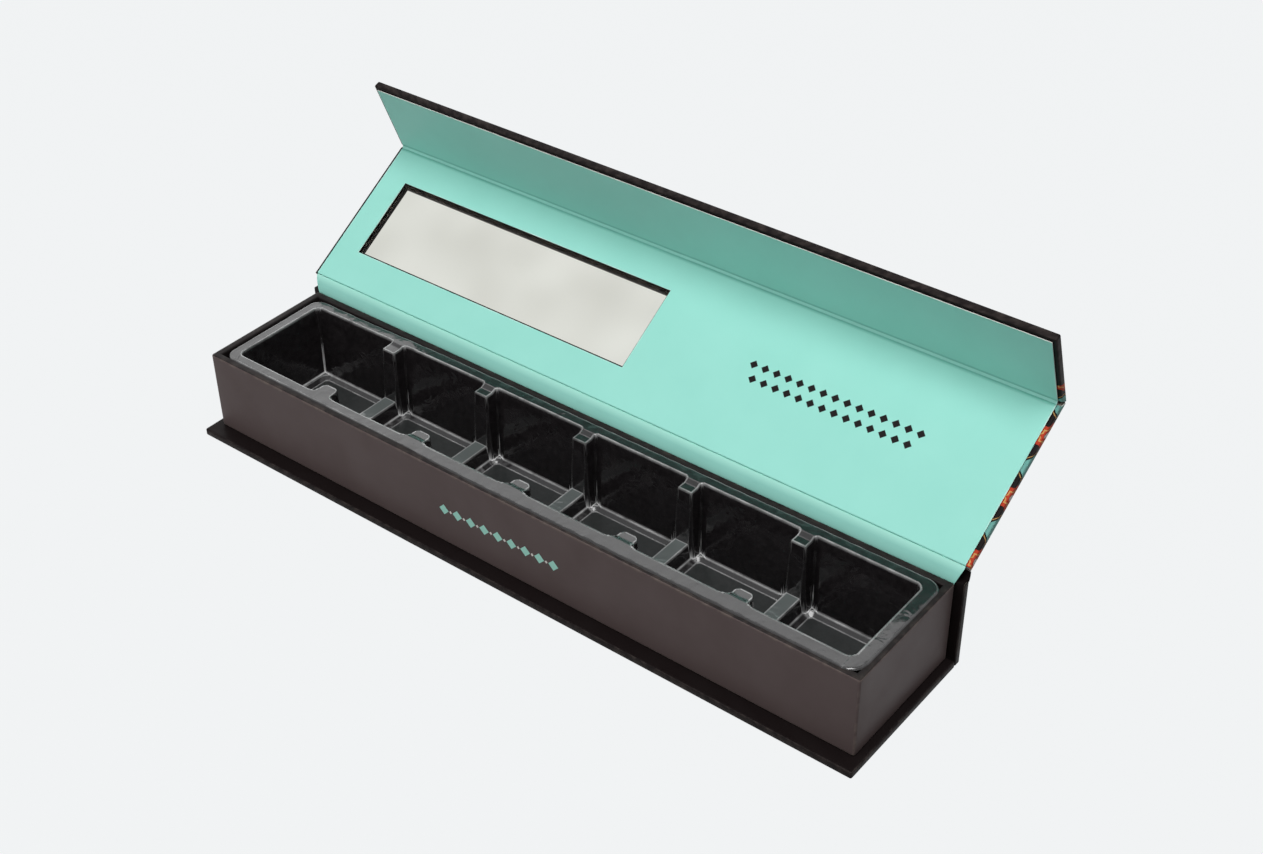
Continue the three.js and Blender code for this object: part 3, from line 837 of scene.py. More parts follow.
# %% Edges of a wrapped board
EDGE_RADIUS = 0.42
CORNER_RADIUS = 0.55
SUPPORT = 0.6
MARGIN = EDGE_RADIUS + SUPPORT
ON_EDGE = 0.99 * EDGE_RADIUS
ARC_STEPS = 4
QUARTER = np.linspace(0, math.pi / 2, ARC_STEPS + 1)
CORNER_ANGLES = QUARTER[1:-1]


def edge_profile(thickness, turn_in):
    """Rows of (inset, depth, paper used past the edge): face, outer arc, edge, inner arc, turned-in strip."""
    a, r = QUARTER, EDGE_RADIUS
    round_out = np.stack([r * (1 - np.sin(a)), r * (1 - np.cos(a)), r * (a - 1)], 1)
    used = r * (math.pi / 2 - 1) + thickness - 2 * r
    round_in = np.stack([r * (1 - np.cos(a)), thickness - r * (1 - np.sin(a)), used + r * a], 1)
    used += r * (math.pi / 2 - 1)
    face = [[MARGIN, 0, -MARGIN]]
    inner = [[MARGIN, thickness, used + MARGIN], [turn_in, thickness, used + turn_in]]
    return np.concatenate([face, round_out, round_in, inner])


def loops(x0, x1, s0, s1, near, far, fx, fs):
    """Closed loops round rectangles with round corners, one row each. fx and fs cut the sides into parts."""
    def arc(x, s, radius, start):
        angle = start + CORNER_ANGLES
        return x + radius * np.cos(angle), s + radius * np.sin(angle)

    sides = [
        (x0 + near + (x1 - x0 - 2 * near) * fx, s0 + 0 * fx),
        arc(x1 - near, s0 + near, near, -math.pi / 2),
        (x1 + 0 * fs, s0 + near + (s1 - s0 - near - far) * fs),
        arc(x1 - far, s1 - far, far, 0),
        (x0 + far + (x1 - x0 - 2 * far) * fx[::-1], s1 + 0 * fx),
        arc(x0 + far, s1 - far, far, math.pi / 2),
        (x0 + 0 * fs, s0 + near + (s1 - s0 - near - far) * fs[::-1]),
        arc(x0 + near, s0 + near, near, math.pi),
    ]
    return np.concatenate([np.stack([x, s], -1) for x, s in sides], 1)


def edge_patch(ring, flat, inset, depth, inwards=False):
    """The patch of a profile carried round, from its loops in place and its loops on the flat sheet."""
    mark = np.repeat((inset[:, 0] < ON_EDGE).astype(float), ring.shape[1])
    faces = loop_faces(len(inset), ring.shape[1], inwards)
    return lifted(ring, depth), flat.reshape(-1, 2), mark, faces


def shares(stops):
    """Grid lines as shares of the way from the first to the last."""
    return (stops - stops[0]) / (stops[-1] - stops[0])


print("a wrapped edge takes", round(edge_profile(wrap_depth, 0)[-1, 2], 2), "mm more paper than the face")

# %% [markdown]
# With those, a whole board is a loft round its edges and a grid on its face. An edge that runs on into the
# next board is left open. A window is a second loft, inwards: the paper turns in through the board and lies
# back over its inner face.

# %% Wrapped boards
GRID_STEP = 6.0
WINDOW_TURN = 4.0
WINDOW_LAP = 0.1
LAP_BEND = (0.12, 0.2)


def within(stops, low, high):
    """Which grid lines lie in a window's range or in its margins."""
    return (stops > low - MARGIN - WELD) & (stops < high + MARGIN + WELD)


def face_patch(xs, ss, window):
    """The flat grid on a board's face, with the cells of a window left out."""
    grid_x, grid_s = np.meshgrid(xs, ss)
    points = np.stack([grid_x, grid_s, 0 * grid_x], -1).reshape(-1, 3)
    keep = np.ones((len(ss) - 1, len(xs) - 1), bool)
    if window:
        in_x, in_s = within(xs, *window[0]), within(ss, *window[1])
        keep = ~((in_s[:-1] & in_s[1:])[:, None] & (in_x[:-1] & in_x[1:]))
    return points, points[:, :2], np.zeros(len(points)), grid_faces(len(ss), len(xs), keep)


def window_patch(xs, ss, window):
    """The turned-in edge of a window, cut into the same parts as the face's grid beside it."""
    (x0, x1), (s0, s1) = window
    profile = edge_profile(2 * board_inner, WINDOW_TURN)[: ARC_STEPS + 2]
    paid = profile[-1, 2] + board_inner
    lap = board_inner + WINDOW_LAP
    bend = [LAP_BEND[0], lap, paid + LAP_BEND[1]]
    back = [[0, board_inner, paid], bend, [WINDOW_TURN, lap, paid + WINDOW_TURN]]
    inset, depth, used = (column[:, None] for column in np.concatenate([profile, back]).T)
    fx, fs = shares(xs[within(xs, x0, x1)]), shares(ss[within(ss, s0, s1)])
    none = 0 * inset
    ring = loops(x0 - inset, x1 + inset, s0 - inset, s1 + inset, none, none, fx, fs)
    flat = loops(x0 + used, x1 - used, s0 + used, s1 - used, none, none, fx, fs)
    return edge_patch(ring, flat, inset, depth, inwards=True)


def wrapped_board(half, s0, s1, thickness, turn_in, near=True, far=True, bevel=(0, 0), window=None):
    """A patch in X, S and N, wrapped round a board that reaches half to each side and from s0 to s1. Near
    and far say whether those edges are wrapped. One that isn't is left open, cut back by bevel times the
    depth."""
    inset, depth, used = (column[:, None] for column in edge_profile(thickness, turn_in).T)
    low = s0 + (inset if near else bevel[0] * depth)
    high = s1 - (inset if far else bevel[1] * depth)
    stops_x = [MARGIN - half, half - MARGIN]
    stops_s = [s0 + MARGIN * near, s1 - MARGIN * far]
    if window:
        stops_x[1:1] = [window[0][0] - MARGIN, window[0][1] + MARGIN]
        stops_s[1:1] = [window[1][0] - MARGIN, window[1][1] + MARGIN]
    xs, ss = lines(GRID_STEP, *stops_x), lines(GRID_STEP, *stops_s)
    fx, fs = shares(xs), shares(ss)
    rounding = np.maximum(CORNER_RADIUS - inset, 0)
    ring = loops(inset - half, half - inset, low, high, rounding * near, rounding * far, fx, fs)
    flat = loops(-half - used, half + used, s0 - used * near, s1 + used * far, 0 * used, 0 * used, fx, fs)
    patches = [edge_patch(ring, flat, inset, depth), face_patch(xs, ss, window)]
    if window:
        patches.append(window_patch(xs, ss, window))
    return joined(*patches)


def open_edges(patch, *edges):
    """Drops the faces that stand on an edge left open: all their corners lie on that edge's plane."""
    local, sheet, mark, faces = patch
    drop = np.zeros(len(faces), bool)
    for at, slope in edges:
        drop |= (np.abs(local[:, 1] - at - slope * local[:, 2]) < WELD)[faces].all(1)
    return local, sheet, mark, faces[~drop]


# %% [markdown]
# The base lies under the tray and stands out as a lip in front and at both ends. Its paper comes from below
# and turns in over the top. The spine stands behind it, with its paper carried on from the base, and a
# strip of the same paper closes the spine's top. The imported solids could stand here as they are, but their
# edges are square, and it is the soft edge that says paper over board.

# %% Base and spine
TURN_IN = 6.0
SPINE_CAP = 0.25


def base_cover():
    """A wrapped board laid down: S goes back from the front edge and N goes up."""
    depth = base_high[1] - base_low[1]
    lip = tray_low[1] - base_low[1]
    patch = wrapped_board(half_case, 0, depth, base_high[2], TURN_IN + lip, far=False)
    local, sheet, mark, faces = open_edges(patch, (depth, 0))
    points = local + [0, base_low[1], 0]
    return paper_piece("base_cover", (points, sheet - [0, hinge_at[2] + depth], mark, faces))


def spine_cover():
    """A wrapped board stood up: S goes up and N goes forwards, with a flat strip across its top."""
    height = spine_high[2]
    patch = wrapped_board(half_case, 0, height, wrap_depth, TURN_IN, far=False)
    local, sheet, mark, faces = open_edges(patch, (height, 0))
    points = np.stack([local[:, 0], spine_high[1] - local[:, 2], local[:, 1]], 1)
    wall = (points, sheet - [0, hinge_at[2]], mark, faces)
    reach, rear, front = half_case - EDGE_RADIUS, spine_high[1], spine_high[1] - wrap_depth
    corners = [(-reach, front), (reach, front), (reach, rear), (-reach, rear)]
    cap = np.array([(x, y, height + SPINE_CAP) for x, y in corners])
    top_strip = (cap, cap[:, :2] * [1, 0], np.zeros(4), np.array([[0, 1, 2, 3]]))
    return paper_piece("spine_cover", joined(wall, top_strip), ("outer",))


base_piece = base_cover()
spine_piece = spine_cover()

# %% [markdown]
# The lid and the flap share one outer sheet. Each board is wrapped at its ends, the flap at its free edge
# too, and between them the sheet turns through a tight arc at the fold. The arc touches both faces, so it
# starts radius times tan(turn / 2) before the fold. Two pieces would part there when the flap turns, so lid,
# arc and flap are made as one piece.

# %% Outer sheet of lid and flap
FOLD_RADIUS = 0.5
FOLD_STEPS = 6
fold_start = FOLD_RADIUS * math.tan(fold_turn / 2)


def fold_arc(xs):
    """The arc at the fold, row by row from lid to flap: its centre lies a radius in from both outer faces."""
    centre = lid.place(0.0, lid_depth - fold_start, FOLD_RADIUS)
    angle = lid.lean + fold_turn * np.linspace(0, 1, FOLD_STEPS + 1)[:, None]
    y = centre[1] + FOLD_RADIUS * np.sin(angle) + 0 * xs
    z = centre[2] - FOLD_RADIUS * np.cos(angle) + 0 * xs
    along = lid_depth + fold_start * np.linspace(-1, 1, FOLD_STEPS + 1)[:, None] + 0 * xs
    x = xs + 0 * angle
    sheet = np.stack([x, along], -1).reshape(-1, 2)
    points = np.stack([x, y, z], -1).reshape(-1, 3)
    return points, sheet, np.ones(len(points)), grid_faces(FOLD_STEPS + 1, len(xs))


def case_cover():
    """The lid's wrapped board, the arc and the flap's wrapped board, as one sheet."""
    lid_end = lid_depth - fold_start
    patch = wrapped_board(half_case, lid_start, lid_end, wrap_depth, TURN_IN,
                          near=False, far=False, bevel=(0, 1), window=(window_x, window_s))
    local, sheet, mark, faces = open_edges(patch, (lid_start, 0), (lid_end, -1))
    on_lid = (lid.place(*local.T), sheet, mark, faces)
    arc = fold_arc(np.unique(local[np.abs(local[:, 1] - lid_end) < WELD, 0].round(4)))
    patch = wrapped_board(half_case, fold_start, flap_depth, wrap_depth, TURN_IN, near=False, bevel=(1, 0))
    local, sheet, mark, faces = open_edges(patch, (fold_start, 1))
    on_flap = (flap.place(*local.T), sheet + [0, lid_depth], mark, faces)
    return paper_piece("case_cover", joined(on_lid, arc, on_flap))


cover_piece = case_cover()

# %% [markdown]
# The mint lining is one sheet over lid and flap as well. At the fold it bridges the groove between the
# bevelled boards, with a pressed ridge on each side. Its path is a list of (S, N) on the lid and then on
# the flap. Its opening is a little larger than the window, so that the dark edge of the board shows.

# %% Lining of lid and flap
CREASE = np.array([(0, -0.16), (0.12, 0.05), (0.4, 0.10), (0.7, 0), (1.4, 0)])
BAND_RISE = 0.14
CUT_WIDTH = 0.38
LID_ROUND = 0.5
REVEAL = 0.6
REVEAL_FAR = 1.3
opening_x = (window_x[0] - REVEAL, window_x[1] + REVEAL)
opening_s = (window_s[0] - REVEAL, window_s[1] + REVEAL_FAR)


def on_cut(x, v, last_v):
    """Marks grid points on the sheet's outer border or on the border of its opening."""
    on_border = np.isclose(np.abs(x), half_lining) | np.isclose(v, last_v)
    in_x = (x > opening_x[0] - WELD) & (x < opening_x[1] + WELD)
    in_v = (v > opening_s[0] - WELD) & (v < opening_s[1] + WELD)
    return (on_border | (in_x & in_v)).astype(float)


def lining_path():
    """S and N on the lid, then on the flap: flat stretches, with the crease's profile next to the fold."""
    lid_end = lid_depth - groove_half
    stops = [lid_start + LID_ROUND, opening_s[0] - CUT_WIDTH, *opening_s, opening_s[1] + CUT_WIDTH]
    lid_flat = lines(GRID_STEP, *stops, lid_end - CREASE[-1, 0])
    flap_flat = lines(GRID_STEP, groove_half + CREASE[-1, 0], flap_lining_end - CUT_WIDTH, flap_lining_end)
    lid_s = np.concatenate([lid_flat, lid_end - CREASE[-2::-1, 0]])
    lid_n = np.concatenate([0 * lid_flat, CREASE[-2::-1, 1]])
    flap_s = np.concatenate([groove_half + CREASE[:-1, 0], flap_flat])
    flap_n = np.concatenate([CREASE[:-1, 1], 0 * flap_flat])
    return [column[:, None] for column in (lid_s, lid_n, flap_s, flap_n)]


def case_lining():
    """The path carried along X, with a raised band over the fold and the opening left out."""
    xs = lines(GRID_STEP, -half_lining, CUT_WIDTH - half_lining, opening_x[0] - CUT_WIDTH, *opening_x,
               opening_x[1] + CUT_WIDTH, half_lining - CUT_WIDTH, half_lining)
    lid_s, lid_n, flap_s, flap_n = lining_path()
    on_lid = lid.place(xs, lid_s, lining_depth + lid_n)
    on_flap = flap.place(xs, flap_s, lining_depth + flap_n)
    outward = (lid.inward + flap.inward) / np.linalg.norm(lid.inward + flap.inward)
    band = (on_lid[-1:] + on_flap[:1]) / 2 + BAND_RISE * outward
    points = np.concatenate([on_lid, band, on_flap]).reshape(-1, 3)
    v = np.concatenate([lid_s, [[lid_depth]], lid_depth + flap_s])
    grid_x, grid_v = np.broadcast_arrays(xs, v)
    sheet = np.stack([grid_x, grid_v], -1).reshape(-1, 2)
    mark = on_cut(grid_x, grid_v, v[-1]).reshape(-1)
    mid_x = (xs[1:] + xs[:-1]) / 2
    mid_v = (v[1:] + v[:-1]) / 2
    hole_x = (mid_x > opening_x[0]) & (mid_x < opening_x[1])
    hole_v = (mid_v > opening_s[0]) & (mid_v < opening_s[1])
    faces = grid_faces(len(v), len(xs), ~(hole_v & hole_x))[:, ::-1]
    return paper_piece("case_lining", (points, sheet, mark, faces), ("lining", "core"))


lining_piece = case_lining()

# %% [markdown]
# Between the spine and the lid both sheets are bare of board. The outer one bellies out between the two. The
# lining comes straight up from behind the tray, its lower corners trimmed at a slant, leans over in a curve
# and dips into a shallow groove at the lid's edge. Straight strips would look like board, so each is a
# profile along a Bezier curve, carried along X.

# %% Hinge strips
COVER_STEPS = 10
LINING_STEPS = 15
STRIP_COLUMNS = 41
BULGE = 0.35
BULGE_FROM = 1.1
BULGE_TO = 0.75
LINING_FOOT = 6.0
LINING_WAIST = 16.0
BEND_BELOW = 0.6
RISE_FROM = (0, 1.8)
RISE_TO = (0.94, 1.77)
GROOVE_BACK = 0.1
GROOVE_DEPTH = 0.35
TRIM_DROP = 4.0
TRIM_TOP = 4.5
TRIM_IN = 3.0


def bezier(points, steps):
    """A cubic Bezier curve as rows of points, from its four control points."""
    t = np.linspace(0, 1, steps + 1)[:, None]
    p = np.array(points, float)
    return (1 - t) ** 3 * p[0] + 3 * t * (1 - t) ** 2 * p[1] + 3 * t ** 2 * (1 - t) * p[2] + t ** 3 * p[3]


def strip_piece(name, path, half, v_end, material):
    """A path in Y and Z carried along X, as wide as half says at each of its points. The sheet's V is the
    length along the path, counted back from v_end."""
    x = half[:, None] * np.linspace(-1, 1, STRIP_COLUMNS)
    run = np.concatenate([[0], np.cumsum(np.linalg.norm(np.diff(path, axis=0), axis=1))])
    v = (v_end - run[-1] + run)[:, None] + 0 * x
    points = np.stack([x, path[:, :1] + 0 * x, path[:, 1:] + 0 * x], -1).reshape(-1, 3)
    sheet = np.stack([x, v], -1).reshape(-1, 2)
    faces = grid_faces(len(path), STRIP_COLUMNS)
    if material == "lining":
        faces = faces[:, ::-1]
    return thicken(make_piece(name, points, faces, (material,), sheet, edge=np.zeros(len(points))), PAPER)


def cover_path():
    """The outer strip's path from the spine's top to the lid's edge."""
    start = np.array([spine_high[1], spine_high[2]])
    end = lid.place(0.0, lid_start, 0.0)[1:]
    return bezier([start, start + [BULGE, BULGE_FROM], end + [BULGE_TO * BULGE, -BULGE_TO], end], COVER_STEPS)


def lining_rise():
    """The inner strip's path: straight up, over in a curve to the groove, and a quarter turn onto the lid."""
    inner = box_of("spine_lining")[0][1]
    rim = spine_high[2]
    heights = np.array([LINING_FOOT, LINING_WAIST, rim - TRIM_DROP, rim - BEND_BELOW])
    straight = np.stack([np.full(4, inner), heights], 1)
    groove = lid.place(0.0, lid_start - GROOVE_BACK, lining_depth - GROOVE_DEPTH)[1:]
    rise = bezier([straight[-1], straight[-1] + RISE_FROM, groove - RISE_TO, groove], LINING_STEPS)
    a = QUARTER[::-1]
    turn_s = lid_start + LID_ROUND * (1 - np.sin(a))
    turn_n = lining_depth - LID_ROUND * (1 - np.cos(a))
    return np.concatenate([straight, rise[1:], lid.place(0.0, turn_s, turn_n)[:, 1:]])


outer_path = cover_path()
full = np.full(len(outer_path), half_case)
hinge_cover_piece = strip_piece("hinge_cover", outer_path, full, lid_start, "outer")
inner_path = lining_rise()
trim = [spine_high[2] - TRIM_DROP, spine_high[2] + TRIM_TOP]
trimmed = np.interp(inner_path[:, 1], trim, [half_lining - TRIM_IN, half_lining])
hinge_lining_piece = strip_piece("hinge_lining", inner_path, trimmed, lid_start + LID_ROUND, "lining")

# %% [markdown]
# The tray's wrapping could be a hollowed block with bevels, but that has no paper turned in below or inside.
# So it is a loft of rounded rectangles: in under the bottom, round the foot, up the walls, over the rim and
# down inside. Every ring is the tray's outline drawn in by some inset at some height. From the middle of
# the rim's outer bend inwards, it takes the blacker paper.

# %% Tray wrapping
RIM_RADIUS = 0.5
TRAY_CORNER = 0.75
LEAST_CORNER = 0.02
UNDER_TURN = 12.0
INNER_TURN = 18.0
TRAY_PARTS = (48, 10)
HAIR = 0.01


def tray_cover():
    """The profile's rows of (inset, height), each drawn as a ring round the tray."""
    foot, rim = tray_low[2], tray_high[2]
    a, r, wall = QUARTER, RIM_RADIUS, wrap_depth
    under = [[UNDER_TURN, foot], [r + SUPPORT, foot]]
    heel = np.stack([r * (1 - np.sin(a)), foot + r * (1 - np.cos(a))], 1)
    side = [[0, foot + r + SUPPORT], [0, (foot + rim) / 2], [0, rim - r - SUPPORT]]
    brow = np.stack([r * (1 - np.cos(a)), rim - r * (1 - np.sin(a))], 1)
    lip = np.stack([wall - r * (1 - np.sin(a)), rim - r * (1 - np.cos(a))], 1)
    inside = [[wall, rim - r - SUPPORT], [wall, rim - INNER_TURN]]
    profile = np.concatenate([under, heel, side, brow, lip, inside])
    inset, z = profile[:, :1], profile[:, 1:]
    rounding = np.maximum(TRAY_CORNER - inset, LEAST_CORNER)
    fx, fs = (np.linspace(0, 1, parts + 1) for parts in TRAY_PARTS)
    ring = loops(tray_low[0] + inset, tray_high[0] - inset, tray_low[1] + inset, tray_high[1] - inset,
                 rounding, rounding, fx, fs)
    bent = (inset < r) & ((z > rim - r - HAIR) | (z < foot + r))
    sides = [len(fx), len(CORNER_ANGLES), len(fs), len(CORNER_ANGLES)] * 2
    corner = np.repeat([0, 1] * 4, sides) * (inset < HAIR)
    mark = np.maximum(bent, corner).astype(float)
    first_dark = len(under) + len(heel) + len(side) + len(brow) // 2
    slots = 2 * (np.repeat(np.arange(len(profile) - 1), ring.shape[1]) >= first_dark)
    faces = loop_faces(len(profile), ring.shape[1])
    papers = ("tray", "core", "rim", "core")
    return make_piece("tray_cover", lifted(ring, z), faces, papers, slots=slots, edge=mark)


tray_piece = thicken(tray_cover(), PAPER)

# %% [markdown]
# The insert is a sheet drawn into a mould. It could be sculpted, or cut from a block, but cuts leave sharp
# rims. Every point of its plan has one height, so it is a height field. First come the sizes of its plan,
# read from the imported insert, and the distances it is built from: a rectangle with round corners, and
# minima that are blended, because plastic never bends sharply.

# %% Insert: plan
SHEET = 0.45
RIM_WIDTH = 3.6
RIM_CORNER = 4.0
CAVITIES = 6
SADDLE_HALF = 2.5

insert_low, insert_high = box_of("insert")
rim_z = float(insert_high[2])
floor_z = float(insert_low[2]) + SHEET
insert_half = (insert_high - insert_low)[:2] / 2
insert_mid = (insert_high + insert_low)[:2] / 2
mouth_half = insert_half - RIM_WIDTH
pitch = (2 * mouth_half[0] + 2 * SADDLE_HALF) / CAVITIES
walls_x = (np.arange(1, CAVITIES) - CAVITIES / 2) * pitch
print("cavities every", round(float(pitch), 2), "mm, walls at", np.round(walls_x, 1))


def rounded_box(x, y, half_x, half_y, radius):
    """Distance from a rectangle with round corners, negative inside it."""
    qx, qy = np.abs(x) - half_x + radius, np.abs(y) - half_y + radius
    outside = np.hypot(np.maximum(qx, 0), np.maximum(qy, 0))
    return outside + np.minimum(np.maximum(qx, qy), 0) - radius


def smooth_min(a, b, width):
    """The smaller of two values, rounded where they come within a width of each other, and its blend."""
    share = np.clip(0.5 + 0.5 * (b - a) / width, 0, 1)
    return b + (a - b) * share - width * share * (1 - share), share


def smooth_max(a, b, width):
    """The larger of two values, rounded in the same way."""
    return -smooth_min(-a, -b, width)[0]


def round_corners(x, y):
    """Moves the square corners of the plan onto round ones: a square's quarter goes to a disc's quarter."""
    cx, cy = insert_half - RIM_CORNER
    u = np.maximum(np.abs(x) - cx, 0) / RIM_CORNER
    v = np.maximum(np.abs(y) - cy, 0) / RIM_CORNER
    both = (u > 0) & (v > 0)
    x = np.where(both, np.sign(x) * (cx + RIM_CORNER * u * np.sqrt(1 - v * v / 2)), x)
    y = np.where(both, np.sign(y) * (cy + RIM_CORNER * v * np.sqrt(1 - u * u / 2)), y)
    return x, y


# %% [markdown]
# The height field has five parts: a flat rim, a trough whose walls lean in, tabs that stand out from the
# front and rear walls between the cavities, low saddles that join them, and floors with a bevelled border.
# The front tabs are wide tongues with round hollows at the rim; the rear ones are narrow and square.

# %% Insert: height
MOUTH_CORNER = 1.9
WALL_LEAN = 3.0
TAB_ROOT = 6.0
TAB_DEPTH = 4.9
TAB_LEAN = 1.2
REAR_TAB = {"half": 2.6, "corner": 0.5, "hollow": 0.9}
FRONT_TAB = {"half": 3.1, "corner": 2.0, "hollow": 3.0}
HOLLOW_REACH = 0.6
SADDLE_LEAN = 0.8
SADDLE_HEIGHT = 5.8
BORDER_WIDTH = 1.9
BORDER_HEIGHT = 1.0
FLOOR_CORNER = 3.2
RIM_BEND = 3.0
FLOOR_ROUND = 1.2
SADDLE_ROUND = 0.7
LIP_DROP = 0.4
LIP_WIDTH = 0.6
RIPPLE = 0.06
RIPPLE_WIDTH = 3.0
RIPPLE_TURNS = (0.9, 1.3, 0.21)


def trough(x, y, beside):
    """The rim and the walls: height falls with the distance in from a wall, and more steeply from a tab."""
    front = y < 0
    half, corner = (np.where(front, FRONT_TAB[size], REAR_TAB[size]) for size in ("half", "corner"))
    wall = -rounded_box(x, y, *mouth_half, MOUTH_CORNER)
    tab = rounded_box(beside, np.abs(y) - mouth_half[1] - TAB_ROOT, half, TAB_DEPTH + TAB_ROOT, corner)
    near_rim = np.clip(1 - np.minimum(wall, tab) / HOLLOW_REACH, 0, 1)
    hollow = REAR_TAB["hollow"] + (FRONT_TAB["hollow"] - REAR_TAB["hollow"]) * near_rim * front
    inside, share = smooth_min(wall, tab, hollow)
    steep = (rim_z - floor_z) / (WALL_LEAN * share + TAB_LEAN * (1 - share))
    return -smooth_max(-rim_z + 0 * x, -(rim_z - steep * inside), RIM_BEND)


def floors(x, y):
    """Floors of the cavities: flat, and rising at a bevelled border round each."""
    end = mouth_half[0] - WALL_LEAN + SADDLE_HALF
    ends = np.concatenate([[-end], walls_x, [end]])
    middle, reach = (ends[1:] + ends[:-1]) / 2, (ends[1:] - ends[:-1]) / 2
    which = np.clip(np.searchsorted(walls_x, x), 0, CAVITIES - 1)
    half = reach[which] - SADDLE_HALF - SADDLE_LEAN
    border = -rounded_box(x - middle[which], y, half, mouth_half[1] - WALL_LEAN, FLOOR_CORNER)
    return floor_z + BORDER_HEIGHT * (1 - np.clip(border / BORDER_WIDTH, 0, 1))


def insert_height(x, y):
    """Height of the sheet over its plan, measured from the insert's middle: the highest of trough, floors and
    saddles, with the rim's outer edge turned down and a slight ripple along it."""
    beside = np.abs(x[..., None] - walls_x).min(-1)
    height = smooth_max(trough(x, y, beside), floors(x, y), FLOOR_ROUND)
    fall = np.maximum(beside - SADDLE_HALF, 0) * SADDLE_HEIGHT / SADDLE_LEAN
    height = smooth_max(height, floor_z + SADDLE_HEIGHT - fall, SADDLE_ROUND)
    edge = -rounded_box(x, y, *insert_half, RIM_CORNER)
    down = LIP_DROP * np.clip(1 - edge / LIP_WIDTH, 0, 1) ** 2
    fast, swing, slow = RIPPLE_TURNS
    ripple = RIPPLE * np.sin(x * fast + swing * np.sin(x * slow)) * np.clip(1 - edge / RIPPLE_WIDTH, 0, 1)
    return height - down + ripple


saddle_top = insert_height(walls_x[:1], np.zeros(1))[0]
print("saddles stand", round(saddle_top - floor_z, 2), "mm above the floors")

# %% [markdown]
# A real insert doesn't sit quite true. Past the middle its front rim rides out over the tray's edge, its
# rear rim rises and its right end stands out, while the left end keeps its place. Two marks for the finish
# are worked out from the shape: how tightly the sheet bends, which places painted highlights, and where it is
# level, which places a painted reflection.

# %% Insert: seat and marks
LIP_OUT = 1.9
LIP_UP = 0.8
REAR_OUT = 0.35
END_OUT = 1.3
FRONT_RAMP = (-80, 70)
FRONT_FADE = (50, 60)
FADE_SHARE = 0.1
REAR_RAMP = (-110, 60)
RAISE_REACH = 2.0
BEND_FROM = 0.5
BEND_OVER = 0.8
OUTER_BEND = 0.38
FLOOR_BEND = 0.85
FLOOR_MARGIN = 0.5
UPRIGHT = 0.4
SHORTEST = 0.05
LEVEL_SLOPE = 0.5
FLOOR_REFLECTION_SHARE = 0.22
REFLECTION_FROM = 0.5
REFLECTION_OVER = 0.4
REFLECTION_BELOW = 1.5


def ramp(value, start, length):
    """A smooth step from 0 to 1, that begins at a start and takes a length."""
    t = np.clip((value - start) / length, 0, 1)
    return t * t * (3 - 2 * t)


def seat(x, y):
    """How the rim rides on the tray: its moves in x, y and z."""
    front = ramp(x, *FRONT_RAMP) * (1 - FADE_SHARE * ramp(x, *FRONT_FADE))
    rear = ramp(x, *REAR_RAMP)
    out = np.clip((np.abs(y) - mouth_half[1]) / RIM_WIDTH, 0, 1)
    up = ramp(np.abs(y), mouth_half[1] - RAISE_REACH, RAISE_REACH)
    at_end = ramp(x, mouth_half[0] - RAISE_REACH, RAISE_REACH)
    move_x = END_OUT * np.clip((x - mouth_half[0]) / RIM_WIDTH, 0, 1)
    move_y = np.where(y < 0, -LIP_OUT * front, REAR_OUT * rear) * out
    move_z = LIP_UP * np.maximum(np.where(y < 0, front, rear) * up, at_end)
    return np.stack([move_x, move_y, move_z], -1)


# The bend mark places painted highlights along tight bends.
def tight_bends(points):
    """Marks where a grid bends tightly: the turn of its normal per millimetre, along both of its directions.
    It counts in full in upright inner corners, less at the floors' borders, and least elsewhere."""
    steps = [np.gradient(points, axis=axis) for axis in (1, 0)]
    normal = np.cross(*steps)
    normal /= np.linalg.norm(normal, axis=-1, keepdims=True)
    bend, rise = 0, 0
    for axis, step in zip((1, 0), steps):
        turn = np.gradient(normal, axis=axis)
        length = np.maximum(np.linalg.norm(step, axis=-1), SHORTEST)
        bend = np.hypot(bend, np.linalg.norm(turn, axis=-1) / length)
        rise = rise + (turn * step).sum(-1) / length**2
    inner_upright = (rise < 0) & (np.abs(normal[..., 2]) < UPRIGHT)
    at_floor = points[..., 2] < floor_z + BORDER_HEIGHT + FLOOR_MARGIN
    share = np.clip((bend - BEND_FROM) / BEND_OVER, 0, 1)
    return np.where(inner_upright, share**2, np.where(at_floor, FLOOR_BEND, OUTER_BEND) * share)


def painted_level_reflection(z, xs, ys):
    """Where a painted reflection lightens the sheet: 1 on the level tops of the saddles, a little on the
    floors, 0 elsewhere.
    """
    level = np.clip(1 - np.hypot(*np.gradient(z, ys, xs)) / LEVEL_SLOPE, 0, 1)
    above = (z - floor_z) / SADDLE_HEIGHT
    share = FLOOR_REFLECTION_SHARE + (1 - FLOOR_REFLECTION_SHARE) * ramp(above, REFLECTION_FROM, REFLECTION_OVER)
    return level * share * (above < REFLECTION_BELOW)


print("front rim moves", seat(np.zeros(1), -insert_half[1:])[0].round(2), "mm at its middle")

# %% [markdown]
# The grid is fine where the sheet bends, which is round the saddles and along the walls, and coarse on the
# level floors between.

# %% Insert: mesh
FINE = 0.26
COARSE = 1.6
FINE_ALONG = 7.0
FINE_ACROSS = 9.0


